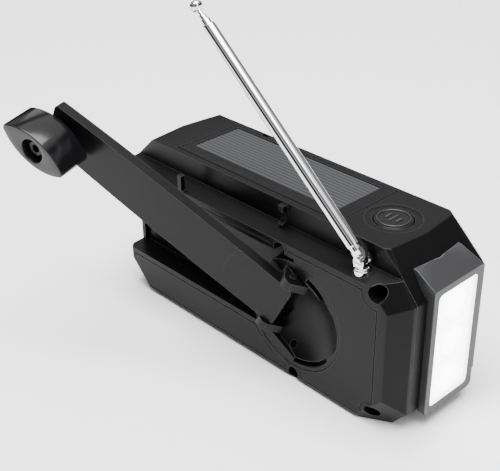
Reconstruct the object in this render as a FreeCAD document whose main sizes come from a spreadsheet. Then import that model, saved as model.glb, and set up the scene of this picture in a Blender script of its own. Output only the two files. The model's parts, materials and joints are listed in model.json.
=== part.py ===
import FreeCAD, Part
import math
import os
import re

import Sketcher
from FreeCAD import Placement, Rotation, Vector

# Hand-crank emergency radio, in millimetres.
# Frame: +Z up, the body rests on z = 0 at the origin. -X is the lamp end, +X the knob end,
# +Y the back with crank and antenna, -Y the front with speaker and dial.

SIZES = [
    # body outline
    ("half_depth", 27.2, "back and front faces to the middle plane"),
    ("body_height", 70.9, "flat top above the rest face"),
    ("end_reach", 77.0, "upright end edges to the middle"),
    ("apex_out", 2.2, "how far the end's middle crease stands out"),
    ("wall", 2.0, "shell wall"),
    ("edge_round", 0.7, "rounding of the case's outer edges"),
    ("top_half", 19.5, "half width of the flat top"),
    ("seam_depth", 18.8, "parting plane, also the upright wall of the antenna groove"),
    ("shelf_outer", 59.6, "antenna shelf at the back face"),
    ("shelf_inner", 61.9, "antenna shelf at the groove wall"),
    ("lamp_slope_low", 54.3, "end slope starts, lamp end"),
    ("lamp_slope_top", 62.8, "end slope meets the top, lamp end"),
    ("knob_slope_low", 59.8, "end slope starts, knob end"),
    ("knob_slope_top", 65.3, "end slope meets the top, knob end"),
    ("lamp_face_end", 70.9, "back face ends, lamp end"),
    ("lamp_edge_depth", 20.4, "upright corner edge, lamp end"),
    ("knob_face_end", 74.4, "back face ends, knob end"),
    ("knob_edge_depth", 24.5, "upright corner edge, knob end"),
    ("foot_bevel", 1.7, "bevel along the bottom edges"),
    # crank rotor and its stowage channel
    ("rotor_across", -26.7, "rotor axis"),
    ("rotor_up", 30.3, "rotor axis above the rest face"),
    ("rotor_radius", 23.1, "rotor disc"),
    ("rotor_face", 27.0, "outer face of the rotor disc"),
    ("rotor_back", 15.3, "inner face of the rotor disc"),
    ("rotor_gap", 0.3, "gap round the rotor"),
    ("ear_inner", 11.6, "inner faces of the two hinge ears"),
    ("ear_outer", 16.1, "outer faces of the two hinge ears"),
    ("shaft_radius", 4.0, "rotor shaft"),
    ("running_gap", 0.05, "radial clearance of every running fit"),
    ("hinge_offset", 8.1, "fold hinge to rotor axis"),
    ("hinge_depth", 28.4, "fold hinge above the middle plane"),
    ("channel_low", 18.4, "lower edge of the stowage channel"),
    ("channel_high", 55.0, "upper edge of the stowage channel"),
    ("channel_floor", 17.0, "floor of the stowage channel"),
    ("crank_turn", 29.0, "rest angle of the rotor above the horizontal"),
    ("arm_tilt", 14.6, "outward lean of the opened arm"),
    ("arm_length", 114.7, "hinge to arm tip"),
    ("arm_root", 11.2, "half width near the hinge"),
    ("arm_tip", 10.2, "half width at the tip"),
    ("arm_heel", 3.2, "reach of the arm behind its hinge"),
    ("arm_thick", 4.3, "arm thickness"),
    ("pin_radius", 1.25, "fold hinge pin"),
    ("knob_along", 109.0, "knob axis along the arm"),
    ("knob_half", 16.4, "half length of the lens-shaped knob"),
    ("knob_belly", 7.3, "half width of the lens-shaped knob"),
    ("knob_turn", 3.0, "rest angle of the knob to the arm"),
    ("knob_inner", 3.8, "knob's inner face above the arm's middle plane"),
    ("knob_outer", 19.2, "knob's outer face above the arm's middle plane"),
    # antenna
    ("mast_across", -55.3, "antenna base"),
    ("mast_depth", 22.6, "antenna base behind the middle plane"),
    ("mast_pivot", 65.4, "antenna tilt axis above the rest face"),
    ("mast_rise", 40.5, "rest angle of the antenna above the horizontal"),
    ("mast_end", 101.5, "outer tube's open end from the pivot"),
    # lamp
    ("hood_half", 14.0, "half width of the lamp hood"),
    ("hood_low", 5.1, "hood underside"),
    ("hood_front_top", 59.2, "hood top at its front"),
    ("hood_back_top", 63.8, "hood top where it meets the body"),
    ("hood_reach", 80.5, "hood front plane"),
    ("window_half", 11.3, "half width of the lamp window"),
    ("window_low", 8.0, "lower edge of the lamp window"),
    ("window_high", 56.6, "upper edge of the lamp window"),
    # solar lid and top button
    ("lid_low", -37.2, "solar lid, lamp end"),
    ("lid_high", 51.2, "solar lid, knob end"),
    ("lid_front", -17.2, "solar lid, front edge"),
    ("lid_hinge", 14.9, "solar lid's hinge axis"),
    ("lid_axis_up", 69.7, "solar lid's hinge axis above the rest face"),
    ("lid_under", 67.3, "underside of the solar lid"),
    ("button_across", -50.0, "alarm button"),
    ("button_radius", 7.5, "alarm button cap"),
    # drive train
    ("drive_module", 0.8, "module of the first gear pair"),
    ("fast_module", 0.5, "module of the second gear pair"),
    ("large_teeth", 40.0, "teeth of both large gears"),
    ("small_teeth", 10.0, "teeth of both small gears"),
    ("fast_turn", -50.0, "direction from the step gear to the generator"),
    ("mesh_gap", 0.1, "extra centre distance of each gear pair"),
    # front panel and knob end
    ("speaker_across", 38.0, "speaker axis"),
    ("speaker_up", 41.0, "speaker axis above the rest face"),
    ("tuning_up", 46.7, "tuning knob axis"),
    ("volume_up", 28.5, "volume knob axis"),
    ("control_depth", -2.0, "both knob axes, front to back"),
]
STANDOFFS = [(-54.0, 16.0), (-12.0, 28.0)]
WELLS = {(-18.9, 56.1): 2.9, (-26.7, 3.2): 2.6, (-65.1, 57.3): 3.1, (-65.5, 6.1): 2.8,
         (60.0, 57.0): 2.4, (68.0, 37.6): 2.4}
SCREWS = list(WELLS)

doc = FreeCAD.newDocument("emergency_radio")
sheet = doc.addObject("Spreadsheet::Sheet", "sizes")
for row, (alias, number, meaning) in enumerate(SIZES, 1):
    sheet.set(f"A{row}", meaning)
    sheet.set(f"B{row}", str(number))
    sheet.setAlias(f"B{row}", alias)
doc.recompute()
ALIASES = {alias for alias, number, meaning in SIZES}
WORD = re.compile(r"[a-z_]{3,}")
parts = {}
counter = {}


def size(alias):
    """One driving dimension as a number."""
    return float(getattr(sheet, alias))


def bound(text):
    """An expression in the sheet's words, with each word pointing at its cell."""
    return WORD.sub(lambda word: f"sizes.{word[0]}" if word[0] in ALIASES else word[0], str(text))


def worth(text):
    """The present value of an expression in the sheet's words."""
    return float(sheet.evalExpression(bound(text)))


def fresh(stem):
    """A name not used before."""
    counter[stem] = counter.get(stem, 0) + 1
    return f"{stem}_{counter[stem]}"


def keep(label, shape_object):
    """Name a finished sub-part."""
    shape_object.Label = label
    parts[label] = shape_object
    return shape_object


def box(x, y, z):
    """Block between two bounds along each axis."""
    block = doc.addObject("Part::Box", fresh("block"))
    for prop, axis, (low, high) in (("Length", "x", x), ("Width", "y", y), ("Height", "z", z)):
        block.setExpression(prop, bound(f"({high}) - ({low})"))
        block.setExpression(f"Placement.Base.{axis}", bound(low))
    return block


TURNS = {
    "x": Rotation(Vector(0, 1, 0), 90),
    "y": Rotation(Vector(1, 0, 0), -90),
    "z": Rotation(),
}


def rod(axis, centre, radius, low, high):
    """Cylinder along an axis; centre holds the other two coordinates in x, y, z order."""
    round_bar = doc.addObject("Part::Cylinder", fresh("rod"))
    round_bar.Placement = Placement(Vector(), TURNS[axis])
    others = [name for name in "xyz" if name != axis]
    for name, where in zip(others + [axis], list(centre) + [low]):
        round_bar.setExpression(f"Placement.Base.{name}", bound(where))
    round_bar.setExpression("Radius", bound(radius))
    round_bar.setExpression("Height", bound(f"({high}) - ({low})"))
    return round_bar


def ball(x, y, z, radius):
    """Sphere."""
    sphere = doc.addObject("Part::Sphere", fresh("ball"))
    sphere.setExpression("Radius", bound(radius))
    for name, where in (("x", x), ("y", y), ("z", z)):
        sphere.setExpression(f"Placement.Base.{name}", bound(where))
    return sphere


def fuse(*shapes):
    """Union."""
    union = doc.addObject("Part::MultiFuse", fresh("union"))
    union.Shapes = list(shapes)
    union.Refine = True
    return union


def cut(base, *tools):
    """Base less every tool."""
    result = doc.addObject("Part::Cut", fresh("cut"))
    result.Base = base
    result.Tool = tools[0] if len(tools) == 1 else fuse(*tools)
    return result


def common(first, second):
    """Intersection."""
    result = doc.addObject("Part::Common", fresh("common"))
    result.Base = first
    result.Tool = second
    return result


def doc_compound(shapes):
    """Several separate solids in one sub-part."""
    group = doc.addObject("Part::Compound", fresh("group"))
    group.Links = shapes
    return group


def made(stem, shape):
    """Feature whose shape comes straight from Part's own functions."""
    feature = doc.addObject("Part::Feature", fresh(stem))
    feature.Shape = shape
    return feature


# ---------------------------------------------------------------- sketched bodies
PLANES = {"x": ("YZ_Plane", 1), "y": ("XZ_Plane", -1), "z": ("XY_Plane", 1)}


def sketch_on(body, axis, level):
    """Empty sketch across an axis at a level; its own axes are the other two, in order."""
    role, sign = PLANES[axis]
    plane = [item for item in body.Origin.OriginFeatures if item.Role == role][0]
    drawing = body.newObject("Sketcher::SketchObject", fresh("drawing"))
    drawing.AttachmentSupport = [(plane, "")]
    drawing.MapMode = "FlatFace"
    drawing.setExpression("AttachmentOffset.Base.z", bound(f"{sign} * ({level})"))
    return drawing


def pin_point(drawing, edge, end, across, up):
    """Tie one end of an edge to two coordinates taken from the sheet."""
    for kind, text in (("DistanceX", across), ("DistanceY", up)):
        index = drawing.addConstraint(Sketcher.Constraint(kind, -1, 1, edge, end, worth(text)))
        drawing.setExpression(f"Constraints[{index}]", bound(text))


def closed_outline(drawing, corners, bulges=None):
    """Closed outline through corners; bulges gives the radius of each side that is an arc."""
    bulges = bulges or {}
    spots = [Vector(worth(across), worth(up), 0) for across, up in corners]
    for index, start in enumerate(spots):
        finish = spots[(index + 1) % len(spots)]
        if index in bulges:
            radius = worth(bulges[index])
            chord = finish - start
            sagitta = radius - math.sqrt(radius ** 2 - (chord.Length / 2) ** 2)
            outward = Vector(chord.y, -chord.x, 0).normalize()
            middle = (start + finish) * 0.5 + outward * sagitta
            drawing.addGeometry(Part.Arc(start, middle, finish))
        else:
            drawing.addGeometry(Part.LineSegment(start, finish))
    for index, (across, up) in enumerate(corners):
        following = (index + 1) % len(corners)
        drawing.addConstraint(Sketcher.Constraint("Coincident", index, 2, following, 1))
        pin_point(drawing, index, 1, across, up)
    for index, text in bulges.items():
        number = drawing.addConstraint(Sketcher.Constraint("Radius", index, worth(text)))
        drawing.setExpression(f"Constraints[{number}]", bound(text))


def padded(stem, axis, corners, low, high, corner="", bulges=None):
    """Prism of an outline along an axis, with its long edges rounded by corner."""
    body = doc.addObject("PartDesign::Body", fresh(stem))
    drawing = sketch_on(body, axis, low)
    closed_outline(drawing, corners, bulges)
    pad = body.newObject("PartDesign::Pad", fresh("pad"))
    pad.Profile = drawing
    pad.setExpression("Length", bound(f"({high}) - ({low})"))
    pad.Reversed = axis == "y"
    drawing.Visibility = False
    if corner:
        doc.recompute()
        direction = {"x": Vector(1, 0, 0), "y": Vector(0, 1, 0), "z": Vector(0, 0, 1)}[axis]
        names = [
            f"Edge{number}"
            for number, edge in enumerate(pad.Shape.Edges, 1)
            if isinstance(edge.Curve, Part.Line) and abs(edge.Curve.Direction.dot(direction)) > 0.99
        ]
        rounding = body.newObject("PartDesign::Fillet", fresh("rounding"))
        rounding.Base = (pad, names)
        rounding.setExpression("Radius", bound(corner))
    return body


def plate(stem, axis, across, up, low, high, corner=""):
    """Rounded rectangular plate across an axis."""
    (left, right), (bottom, top) = across, up
    corners = [(left, bottom), (right, bottom), (right, top), (left, top)]
    return padded(stem, axis, corners, low, high, corner)


def turned(stem, axis, centre, profile):
    """Solid of revolution: profile lists (distance along the axis, radius) pairs."""
    body = doc.addObject("PartDesign::Body", fresh(stem))
    drawing = sketch_on(body, "y", "0")
    closed_outline(drawing, [(radius, along) for along, radius in profile])
    revolution = body.newObject("PartDesign::Revolution", fresh("revolution"))
    revolution.Profile = drawing
    revolution.ReferenceAxis = (drawing, ["V_Axis"])
    revolution.Angle = 360
    drawing.Visibility = False
    body.Placement = Placement(Vector(), TURNS[axis])
    others = [name for name in "xyz" if name != axis]
    for name, where in zip(others, centre):
        body.setExpression(f"Placement.Base.{name}", bound(where))
    return body


# ---------------------------------------------------------------- faceted hull
def facets():
    """Three points on each sloping face of the hull, for the +Y half."""
    depth, height = size("half_depth"), size("body_height")
    reach, apex, top = size("end_reach"), size("apex_out"), size("top_half")
    lamp_edge, knob_edge = size("lamp_edge_depth"), size("knob_edge_depth")
    lamp_face, knob_face = size("lamp_face_end"), size("knob_face_end")
    lamp_low, lamp_top = size("lamp_slope_low"), size("lamp_slope_top")
    knob_low, knob_top = size("knob_slope_low"), size("knob_slope_top")
    shelf, bevel = size("shelf_outer"), size("foot_bevel")
    foot_low, foot_in = 7.9, 6.7
    corner_low, corner_high = 14.3, 51.7
    return [
        # upright end faces, meeting in a crease on the middle plane
        ((-reach, lamp_edge, 0), (-reach - apex, 0, 0), (-reach, lamp_edge, height)),
        ((reach, lamp_edge, 0), (reach + apex, 0, 0), (reach, lamp_edge, height)),
        # upright corner bevels
        ((-lamp_face, depth, 0), (-reach, lamp_edge, 0), (-reach, lamp_edge, height)),
        ((knob_face, depth, 0), (reach, knob_edge, 0), (reach, knob_edge, height)),
        # end slopes under the flat top
        ((-lamp_top, top, height), (-lamp_top - apex, 0, height), (-reach, lamp_edge, lamp_low)),
        ((knob_top, top, height), (knob_top + apex, 0, height), (reach, top, knob_low)),
        # long bevel beside the flat top
        ((0, top, height), (1, top, height), (0, depth, shelf)),
        # corner facets of the back face, lamp end
        ((-lamp_face, depth, corner_high), (-reach, lamp_edge, lamp_low), (-62.4, depth, shelf)),
        ((-lamp_face, depth, corner_low), (-reach, lamp_edge, foot_low), (-56.6, depth, 0)),
        # corner facet of the back face, knob end
        ((knob_face, depth, 12.9), (reach, knob_edge, 12.0), (61.5, depth, 0)),
        # bottom: end slopes and long bevels
        ((-reach, lamp_edge, foot_low), (-reach - apex, 0, foot_low), (-reach + foot_in, lamp_edge, 0)),
        ((reach, lamp_edge, foot_low), (reach + apex, 0, foot_low), (reach - foot_in, lamp_edge, 0)),
        ((0, depth - bevel, 0), (1, depth - bevel, 0), (0, depth, bevel)),
    ]


def hull(inset):
    """The faceted block with every face moved inwards by inset."""
    depth, height = size("half_depth") - inset, size("body_height") - inset
    length = size("end_reach") + 2 * size("apex_out")
    block = Part.makeBox(2 * length, 2 * depth, height - inset, Vector(-length, -depth, inset))
    middle = Vector(0, 0, size("body_height") / 2)
    cutters = []
    for points in facets():
        for side in (1, -1):
            first, second, third = (Vector(x, side * y, z) for x, y, z in points)
            outward = (second - first).cross(third - first).normalize()
            if (first - middle).dot(outward) < 0:
                outward = -outward
            cutter = Part.makeBox(400, 400, 90, Vector(-200, -200, 0))
            cutter.Placement = Placement(first - outward * inset, Rotation(Vector(0, 0, 1), outward))
            cutters.append(cutter)
    for cutter in cutters:
        block = block.cut(cutter)
    return block.removeSplitter()


def rounded_hull(radius):
    """The faceted block with every edge rolled over by a radius."""
    return hull(radius).makeOffsetShape(radius, 0.001, False, False, 0, 0)


outer = made("outer_hull", rounded_hull(size("edge_round")))
inner = made("inner_hull", hull(size("wall")))
doc.recompute()


# ---------------------------------------------------------------- casing
def groove_wedge(drop):
    """Everything above the antenna shelf, behind the seam, lowered by drop."""
    corners = [
        ("seam_depth", f"shelf_inner - {drop}"), ("half_depth + 5", f"shelf_outer - {drop} - 1.4"),
        ("half_depth + 5", "100"), ("seam_depth", "100"),
    ]
    return padded("groove", "x", corners, "-100", "100")


def screw_posts():
    """Posts that the case screws bite into."""
    posts = [rod("y", spot, 3.0 if spot != SCREWS[-1] else 2.35, -26, 11.9) for spot in SCREWS]
    pilots = [rod("y", spot, 1.1, -6, 12.5) for spot in SCREWS]
    return fuse(*posts), fuse(*pilots)


def front_case():
    posts, pilots = screw_posts()
    groove_wall = box((-100, 100), ("seam_depth - wall", 60), ("shelf_outer - wall", 90))
    cavity = cut(inner, groove_wall)
    shell = cut(common(outer, box((-100, 100), (-60, "seam_depth"), (-10, 100))), cavity)
    tub = common(outer, box(("lid_low - wall", "lid_high + wall"), ("lid_front - wall", "seam_depth"),
                            (64.9, 90)))
    cradle = cut(box((-15.2, -12.8), ("seam_depth - 1", 21.6), ("shelf_inner - 1", 70.3)),
                 rod("x", ("mast_depth", "mast_pivot"), 2.9, -20, -10),
                 box((-20, -10), ("seam_depth", 30), (0, "shelf_inner + 0.2")))
    backing = common(outer, fuse(box((73.6, 90), (-14.5, 10.5), (17.0, 59.0)),
                                 box((73.6, 90), (-9.5, 9.5), (5.5, 17.5))))
    standoffs = [rod("y", spot, 2.2, -25.6, -16.05) for spot in STANDOFFS]
    standoffs += [rod("y", spot, 1.35, -17, -13.8) for spot in STANDOFFS]
    solid = fuse(shell, tub, common(outer, posts), cradle, backing, *standoffs)
    openings = [
        pilots,
        box(("lid_low - 0.7", "lid_high + 0.5"), ("lid_front - 0.4", "lid_hinge + 1.5"), (66.9, 90)),
        box((32.7, 36.3), ("lid_front - 1.6", "lid_front"), (68.4, 90)),
        *[rod("y", spot, WELLS[spot] + 0.05, 14.4, 20) for spot in SCREWS],
        *[rod("y", spot, WELLS[spot] + 1.2, 11.95, 20) for spot in SCREWS if spot[1] > 50],
        rod("x", ("lid_hinge", "lid_axis_up"), 0.5, "lid_low - 1.8", "lid_high + 1.8"),
        rod("z", ("button_across", 0), "button_radius + 0.25", 60, 90),
        rod("z", ("button_across", 0), 10.7, "body_height - 0.45", 90),
        rod("y", ("speaker_across", "speaker_up"), 16.8, -40, -20),
        rod("y", ("speaker_across", "speaker_up"), 20.5, -40, "1.2 - half_depth"),
        box((-59, -7), (-40, -20), (39, 55.4)),
        plate("window_seat", "y", (-61.5, -4.5), (36.5, 58.5), -40, "1.2 - half_depth", 2),
        rod("y", (-63.5, 24), 4.7, -40, -20),
        box((-41, -25), (-40, -20), (20.4, 25.6)),
        plate("control_bay", "x", (-12.5, 8.5), (18.5, 57.0), 76.2, 90, 4),
        rod("x", ("control_depth", "tuning_up"), 3.1, 60, 90),
        rod("x", ("control_depth", "volume_up"), 3.1, 60, 90),
        box((70, 90), (-5.0, 5.0), (9.4, 13.6)),
        plate("flap_seat", "x", (-8, 8), (7, 16.4), 78.0, 90, 1.5),
        box((-90, -70), ("-window_half", "window_half"), ("window_low", "window_high")),
    ]
    return keep("front_case", cut(solid, *openings))


def rear_cover():
    behind_seam = box((-100, 100), ("seam_depth", 60), (-10, 100))
    shell = cut(common(outer, behind_seam),
                common(inner, cut(box((-100, 100), (0, 60), (-10, 90)), groove_wedge("wall"))))
    trough = common(outer, box(("rotor_across", 100), ("channel_floor - wall", "half_depth + 1"),
                               ("channel_low - wall", "channel_high + wall")))
    well = rod("y", ("rotor_across", "rotor_up"), "rotor_radius + 2.1", 12.8, "half_depth - 0.5")
    wells = fuse(*[rod("y", spot, WELLS[spot] + 1.0, 12.0, 26.5) for spot in SCREWS])
    foot = box((-60.5, -50.5), ("seam_depth", 26.5), (54, 60))
    extras = common(fuse(trough, well, wells, foot), made("core", hull(size("wall") + 0.15)))
    edge_fill = common(fuse(trough, wells, foot), common(outer, behind_seam))
    clip = cut(box((36.8, 38.8), (25.3, 27.4), (59, 66.5)),
               rod("x", ("mast_depth", "mast_pivot"), 2.75, 30, 45))
    solid = fuse(shell, extras, edge_fill)
    lines = inset_grooves()
    openings = [
        groove_wedge(0),
        box(("rotor_across", 100), ("channel_floor", 60), ("channel_low", "channel_high")),
        rod("y", ("rotor_across", "rotor_up"), "rotor_radius + rotor_gap", 14.8, 60),
        rod("y", ("rotor_across", "rotor_up"), "shaft_radius + running_gap", 0, 60),
        rod("z", ("mast_across", "mast_depth"), 3.45, 59.2, 80),
        rod("z", ("mast_across", "mast_depth"), 2.27, 40, 80),
        *[rod("y", spot, WELLS[spot], 14.5, 60) for spot in SCREWS],
        *[rod("y", spot, 1.4, 0, 60) for spot in SCREWS],
        *lines,
    ]
    return keep("rear_cover", fuse(cut(solid, *openings), clip))


def outline_groove(corners, discs, line=0.45, deep=0.55):
    """Fine groove round a raised panel of the back face, stepping round the given discs."""
    level = size("half_depth") - deep
    spots = [Vector(across, level, up) for across, up in corners]
    panel = Part.Face(Part.makePolygon(spots + spots[:1]))
    for (across, up), radius in discs:
        circle = Part.makeCircle(radius, Vector(across, level, up), Vector(0, 1, 0))
        panel = panel.cut(Part.Face(Part.Wire(circle)))
    ring = panel.Faces[0].makeOffset2D(line).cut(panel)
    return made("groove_line", ring.extrude(Vector(0, 2, 0)))


def inset_grooves():
    """Grooves of the panel round the crank and of the long panel under its channel."""
    rotor = (size("rotor_across"), size("rotor_up"))
    low, high = 3.0, 56.9
    bosses = [((-18.9, 56.1), 4.6), ((-26.7, 3.2), 4.3), ((-65.1, 57.3), 6.2), ((-65.5, 6.1), 4.6)]
    main = [(-66.1, low), (-24.0, low), (-24.0, 30.0), (-20.0, 30.0), (-20.0, high), (-66.1, high)]
    long_panel = [(-23.0, low), (62.5, low), (68.0, 8.0), (72.0, 10.2), (72.0, 15.8), (-16.0, 15.8)]
    strip = box((-14.4, 52), (size("half_depth") - 0.55, 60), (high, high + 0.45))
    return [outline_groove(main, bosses),
            outline_groove(long_panel, [(rotor, 25.6), bosses[1]]), strip]


# ---------------------------------------------------------------- lamp
def lamp_parts():
    reach = "-hood_reach"
    profile = [(reach, "hood_low"), ("-60", "hood_low"), ("-60", "hood_back_top"),
               ("-lamp_face_end", "hood_back_top"), (reach, "hood_front_top")]
    block = common(padded("hood", "y", profile, "-hood_half", "hood_half"),
                   plate("hood_outline", "x", ("-hood_half", "hood_half"),
                         ("hood_low", "hood_back_top + 3"), -90, -60, 2.4))
    edge = [("hood_half - 1.2", "90"), ("hood_half - 1.2", "hood_back_top"),
            ("hood_half", "hood_front_top - 1"), ("hood_half + 4", "hood_front_top - 1"),
            ("hood_half + 4", "90")]
    bevels = [padded("scoop", "x", [(f"{sign} * ({a})", b) for a, b in
                                    (edge if sign > 0 else edge[::-1])], -79.6, -60)
              for sign in (1, -1)]
    window = plate("window", "x", ("-window_half", "window_half"), ("window_low", "window_high"),
                   -90, -60, 2.2)
    keep("lamp_hood", cut(block, outer, window, *bevels))
    keep("lamp_lens", plate("lens", "x", ("0.05 - window_half", "window_half - 0.05"),
                            ("window_low + 0.05", "window_high - 0.05"), -80.1, -78.9, 2.1))
    bowls = [turned("bowl", "x", ("0", str(up)), [(-79.2, 0), (-79.2, 7.6), (-75.2, 6.4),
                                                  (-72.0, 4.2), (-70.2, 1.9), (-70.2, 0)])
             for up in lamp_centres()]
    bores = [rod("x", ("0", up), 1.9, -71, -67) for up in lamp_centres()]
    block = plate("block", "x", ("0.1 - window_half", "window_half - 0.1"),
                  ("window_low + 0.1", "window_high - 0.1"), -78.8, -68.2, 2.15)
    keep("lamp_reflector", cut(block, *bowls, *bores))
    emitters = []
    for up in lamp_centres():
        emitters += [rod("x", ("0", up), 1.7, -70.0, -68.0), ball("-70.0", 0, up, 1.7)]
    keep("lamp_leds", fuse(*emitters))
    keep("lamp_board", plate("board", "x", (-9, 9), (9.5, 53.5), -68.0, -66.6, 1))


def lamp_centres():
    """Heights of the three reflector bowls."""
    low, high = size("window_low"), size("window_high")
    middle, pitch = (low + high) / 2, (high - low) / 3
    return [round(middle + step * pitch, 2) for step in (-1, 0, 1)]


# ---------------------------------------------------------------- solar lid and alarm button
def lid_parts():
    leaf = plate("leaf", "z", ("lid_low", "lid_high"), ("lid_front", "lid_hinge"),
                 "lid_under", "body_height - 0.1", "")
    barrel = rod("x", ("lid_hinge", "lid_axis_up"), 1.1, "lid_low", "lid_high")
    cell_seat = plate("cell_seat", "z", (-31.2, 49.0), (-15.6, 9.6), "body_height - 1.3", 90, 0.8)
    lamp_seat = plate("strip_seat", "z", (-20, 34), (-14, -4), 0, "lid_under + 1.0", 1)
    bore = rod("x", ("lid_hinge", "lid_axis_up"), "0.5 + running_gap", -100, 100)
    lip = box(("lid_low - 1", "lid_high + 1"), ("lid_hinge - 1.6", "lid_hinge - 1.1"),
              ("body_height - 0.5", 90))
    keep("solar_lid", cut(fuse(leaf, barrel), cell_seat, lamp_seat, bore, lip))
    keep("solar_cell", plate("cell", "z", (-31.1, 48.9), (-15.5, 9.5), "body_height - 1.3",
                             "body_height - 0.5", 0.7))
    keep("reading_lamp", plate("strip", "z", (-19.9, 33.9), (-13.9, -4.1), "lid_under",
                               "lid_under + 1.0", 0.9))
    keep("lid_hinge_pin", rod("x", ("lid_hinge", "lid_axis_up"), 0.49, "lid_low - 1.7",
                              "lid_high + 1.7"))


def button_parts():
    up = size("body_height")
    rim = size("button_radius")
    cap = turned("cap", "z", ("button_across", "0"), [
        (up - 7.4, 0), (up - 7.4, 2.6), (up - 3.2, 2.6), (up - 3.2, rim + 0.9), (up - 2.1, rim + 0.9),
        (up - 2.1, rim), (up - 0.6, rim), (up - 0.1, rim - 0.5), (up + 0.15, 0)])
    keep("alarm_button", cap)
    board = plate("switch_board", "z", (-60, -40), (-8, 8), 57.6, 59.0, 1)
    keep("alarm_switch_board", fuse(board, box((-53, -47), (-3, 3), (58.5, 61.4)),
                                    rod("z", (-50, 0), 1.6, 61, 62.4)))


# ---------------------------------------------------------------- crank
def crank_places():
    """Places of the rotor and of the tilted arm in the radio's frame."""
    turn = Rotation(Vector(0, 1, 0), -size("crank_turn"))
    axis = Vector(size("rotor_across"), 0, size("rotor_up"))
    hinge = axis + turn.multVec(Vector(size("hinge_offset"), size("hinge_depth"), 0))
    tilt = Rotation(Vector(0, 0, 1), size("arm_tilt"))
    return Placement(axis, turn), Placement(hinge, turn.multiply(tilt))


def crank_rotor(place):
    """Disc with a dished channel, two ears for the fold hinge, and the shaft."""
    disc = rod("y", (0, 0), "rotor_radius", "rotor_back", "rotor_face")
    dish = common(ball(-1.5, "rotor_face + 26.5", 0, 33.6),
                  box((-21.4, "hinge_offset"), (0, 60), (-17.6, 17.6)))
    bay = box(("hinge_offset - 4.2", 30), ("rotor_face - 6.2", 60), ("-ear_inner", "ear_inner"))
    crescent = common(cut(rod("y", (0, 0), 20.6, "rotor_face - 3.4", 40),
                          rod("y", (0, -8.9), 27.1, 0, 50)),
                      box((-18, 3.4), (0, 60), (9, 30)))
    slot = common(cut(rod("y", (0, 0), 21.6, "rotor_face - 4.5", 40), rod("y", (0.7, 0.4), 20.8, 0, 50)),
                  box((-30, -10), (0, 60), (-20.5, -3.5)))
    web = ["hinge_offset - 6.6", "hinge_offset - 2.4", "hinge_offset + 2.4", "hinge_offset + 6.2"]
    outline = [(web[0], "rotor_face - 1"), (web[3], "rotor_face - 1"), (web[2], "hinge_depth + 2.6"),
               (web[1], "hinge_depth + 2.6")]
    ears = []
    for low, high in (("ear_inner", "ear_outer"), ("-ear_outer", "-ear_inner")):
        ears += [padded("ear", "z", outline, low, high),
                 rod("z", ("hinge_offset", "hinge_depth"), 3.5, low, high)]
    shaft = rod("y", (0, 0), "shaft_radius", 7.4, "rotor_back + 1")
    journal = rod("y", (0, 0), 2.4, -0.8, 8)
    solid = cut(fuse(disc, shaft, journal), dish, bay, crescent, slot,
                rod("y", (-5.4, -15.7), 1.5, 18, 40))
    bore = rod("z", ("hinge_offset", "hinge_depth"), "pin_radius", -30, 30)
    keep("crank_rotor", cut(fuse(solid, *ears), bore)).Placement = place
    shank = rod("z", (0, 0), "pin_radius - 0.01", "-ear_outer", "ear_outer")
    head = rod("z", (0, 0), "pin_radius + 0.1", "ear_outer", "ear_outer + 0.6")
    keep("crank_hinge_pin", fuse(shank, head))


def crank_arm(place):
    """Flat tapering arm on a barrel, with the boss that carries the knob."""
    outline = [("-arm_heel", "-arm_root"), ("arm_length / 2", "-arm_root - 0.6"), ("arm_length", "-arm_tip"),
               ("arm_length", "arm_tip"), ("arm_length / 2", "arm_root + 0.6"), ("-arm_heel", "arm_root")]
    blade = padded("blade", "y", outline, "-arm_thick / 2", "arm_thick / 2", "1.8",
                   {0: "1500", 1: "1500", 3: "1500", 4: "1500"})
    barrel = rod("z", (0, 0), "arm_thick / 2", "-arm_root", "arm_root")
    boss = rod("y", ("knob_along", 0), 3.6, 0, "knob_inner - 0.15")
    bore = rod("z", (0, 0), "pin_radius + running_gap", -30, 30)
    line = cut(rod("y", (3.7, 0), 21.25, "arm_thick / 2 - 0.3", 5),
               rod("y", (3.7, 0), 21.0, 0, 6), box((-30, 19.4), (0, 6), (-30, 30)))
    screw_hole = rod("y", ("knob_along", 0), 1.3, 0, 10)
    hollow = plate("hollow", "y", ("18", "knob_along - 12"), (-7.6, 7.6), -5, "-arm_thick / 2 + 1.8", 3)
    keep("crank_arm", cut(fuse(blade, barrel, boss), bore, line, screw_hole, hollow)).Placement = place


def crank_knob(place):
    """Lens-shaped grip that spins on a hexagon-headed shoulder screw."""
    pivot = Vector(size("knob_along"), 0, 0)
    bulge = "(knob_half * knob_half + knob_belly * knob_belly) / (2 * knob_belly)"
    ends = [("knob_along - knob_half", "0"), ("knob_along + knob_half", "0")]
    grip = padded("grip", "y", ends, "knob_inner", "knob_outer", "1.8", {0: bulge, 1: bulge})
    well = rod("y", ("knob_along", 0), 5.1, "knob_outer - 5.6", 30)
    bore = rod("y", ("knob_along", 0), "1.8 + running_gap", 0, 30)
    swing = Placement(Vector(), Rotation(Vector(0, 1, 0), -size("knob_turn")), pivot)
    keep("crank_knob", cut(grip, well, bore)).Placement = place.multiply(swing)
    corners = [(f"knob_along + {3.4 * math.cos(math.radians(60 * k)):.4f}",
                f"{3.4 * math.sin(math.radians(60 * k)):.4f}") for k in range(6)]
    head = padded("head", "y", corners, "knob_outer - 5.5", "knob_outer - 2.2")
    socket = [(f"knob_along + {1.9 * math.cos(math.radians(60 * k)):.4f}",
               f"{1.9 * math.sin(math.radians(60 * k)):.4f}") for k in range(6)]
    drive = padded("socket", "y", socket, "knob_outer - 4.2", "knob_outer")
    shank = rod("y", ("knob_along", 0), 1.8, "knob_inner - 0.15", "knob_outer - 5.4")
    thread = rod("y", ("knob_along", 0), 1.29, 0.4, "knob_inner")
    keep("knob_screw", cut(fuse(head, shank, thread), drive)).Placement = place


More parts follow.
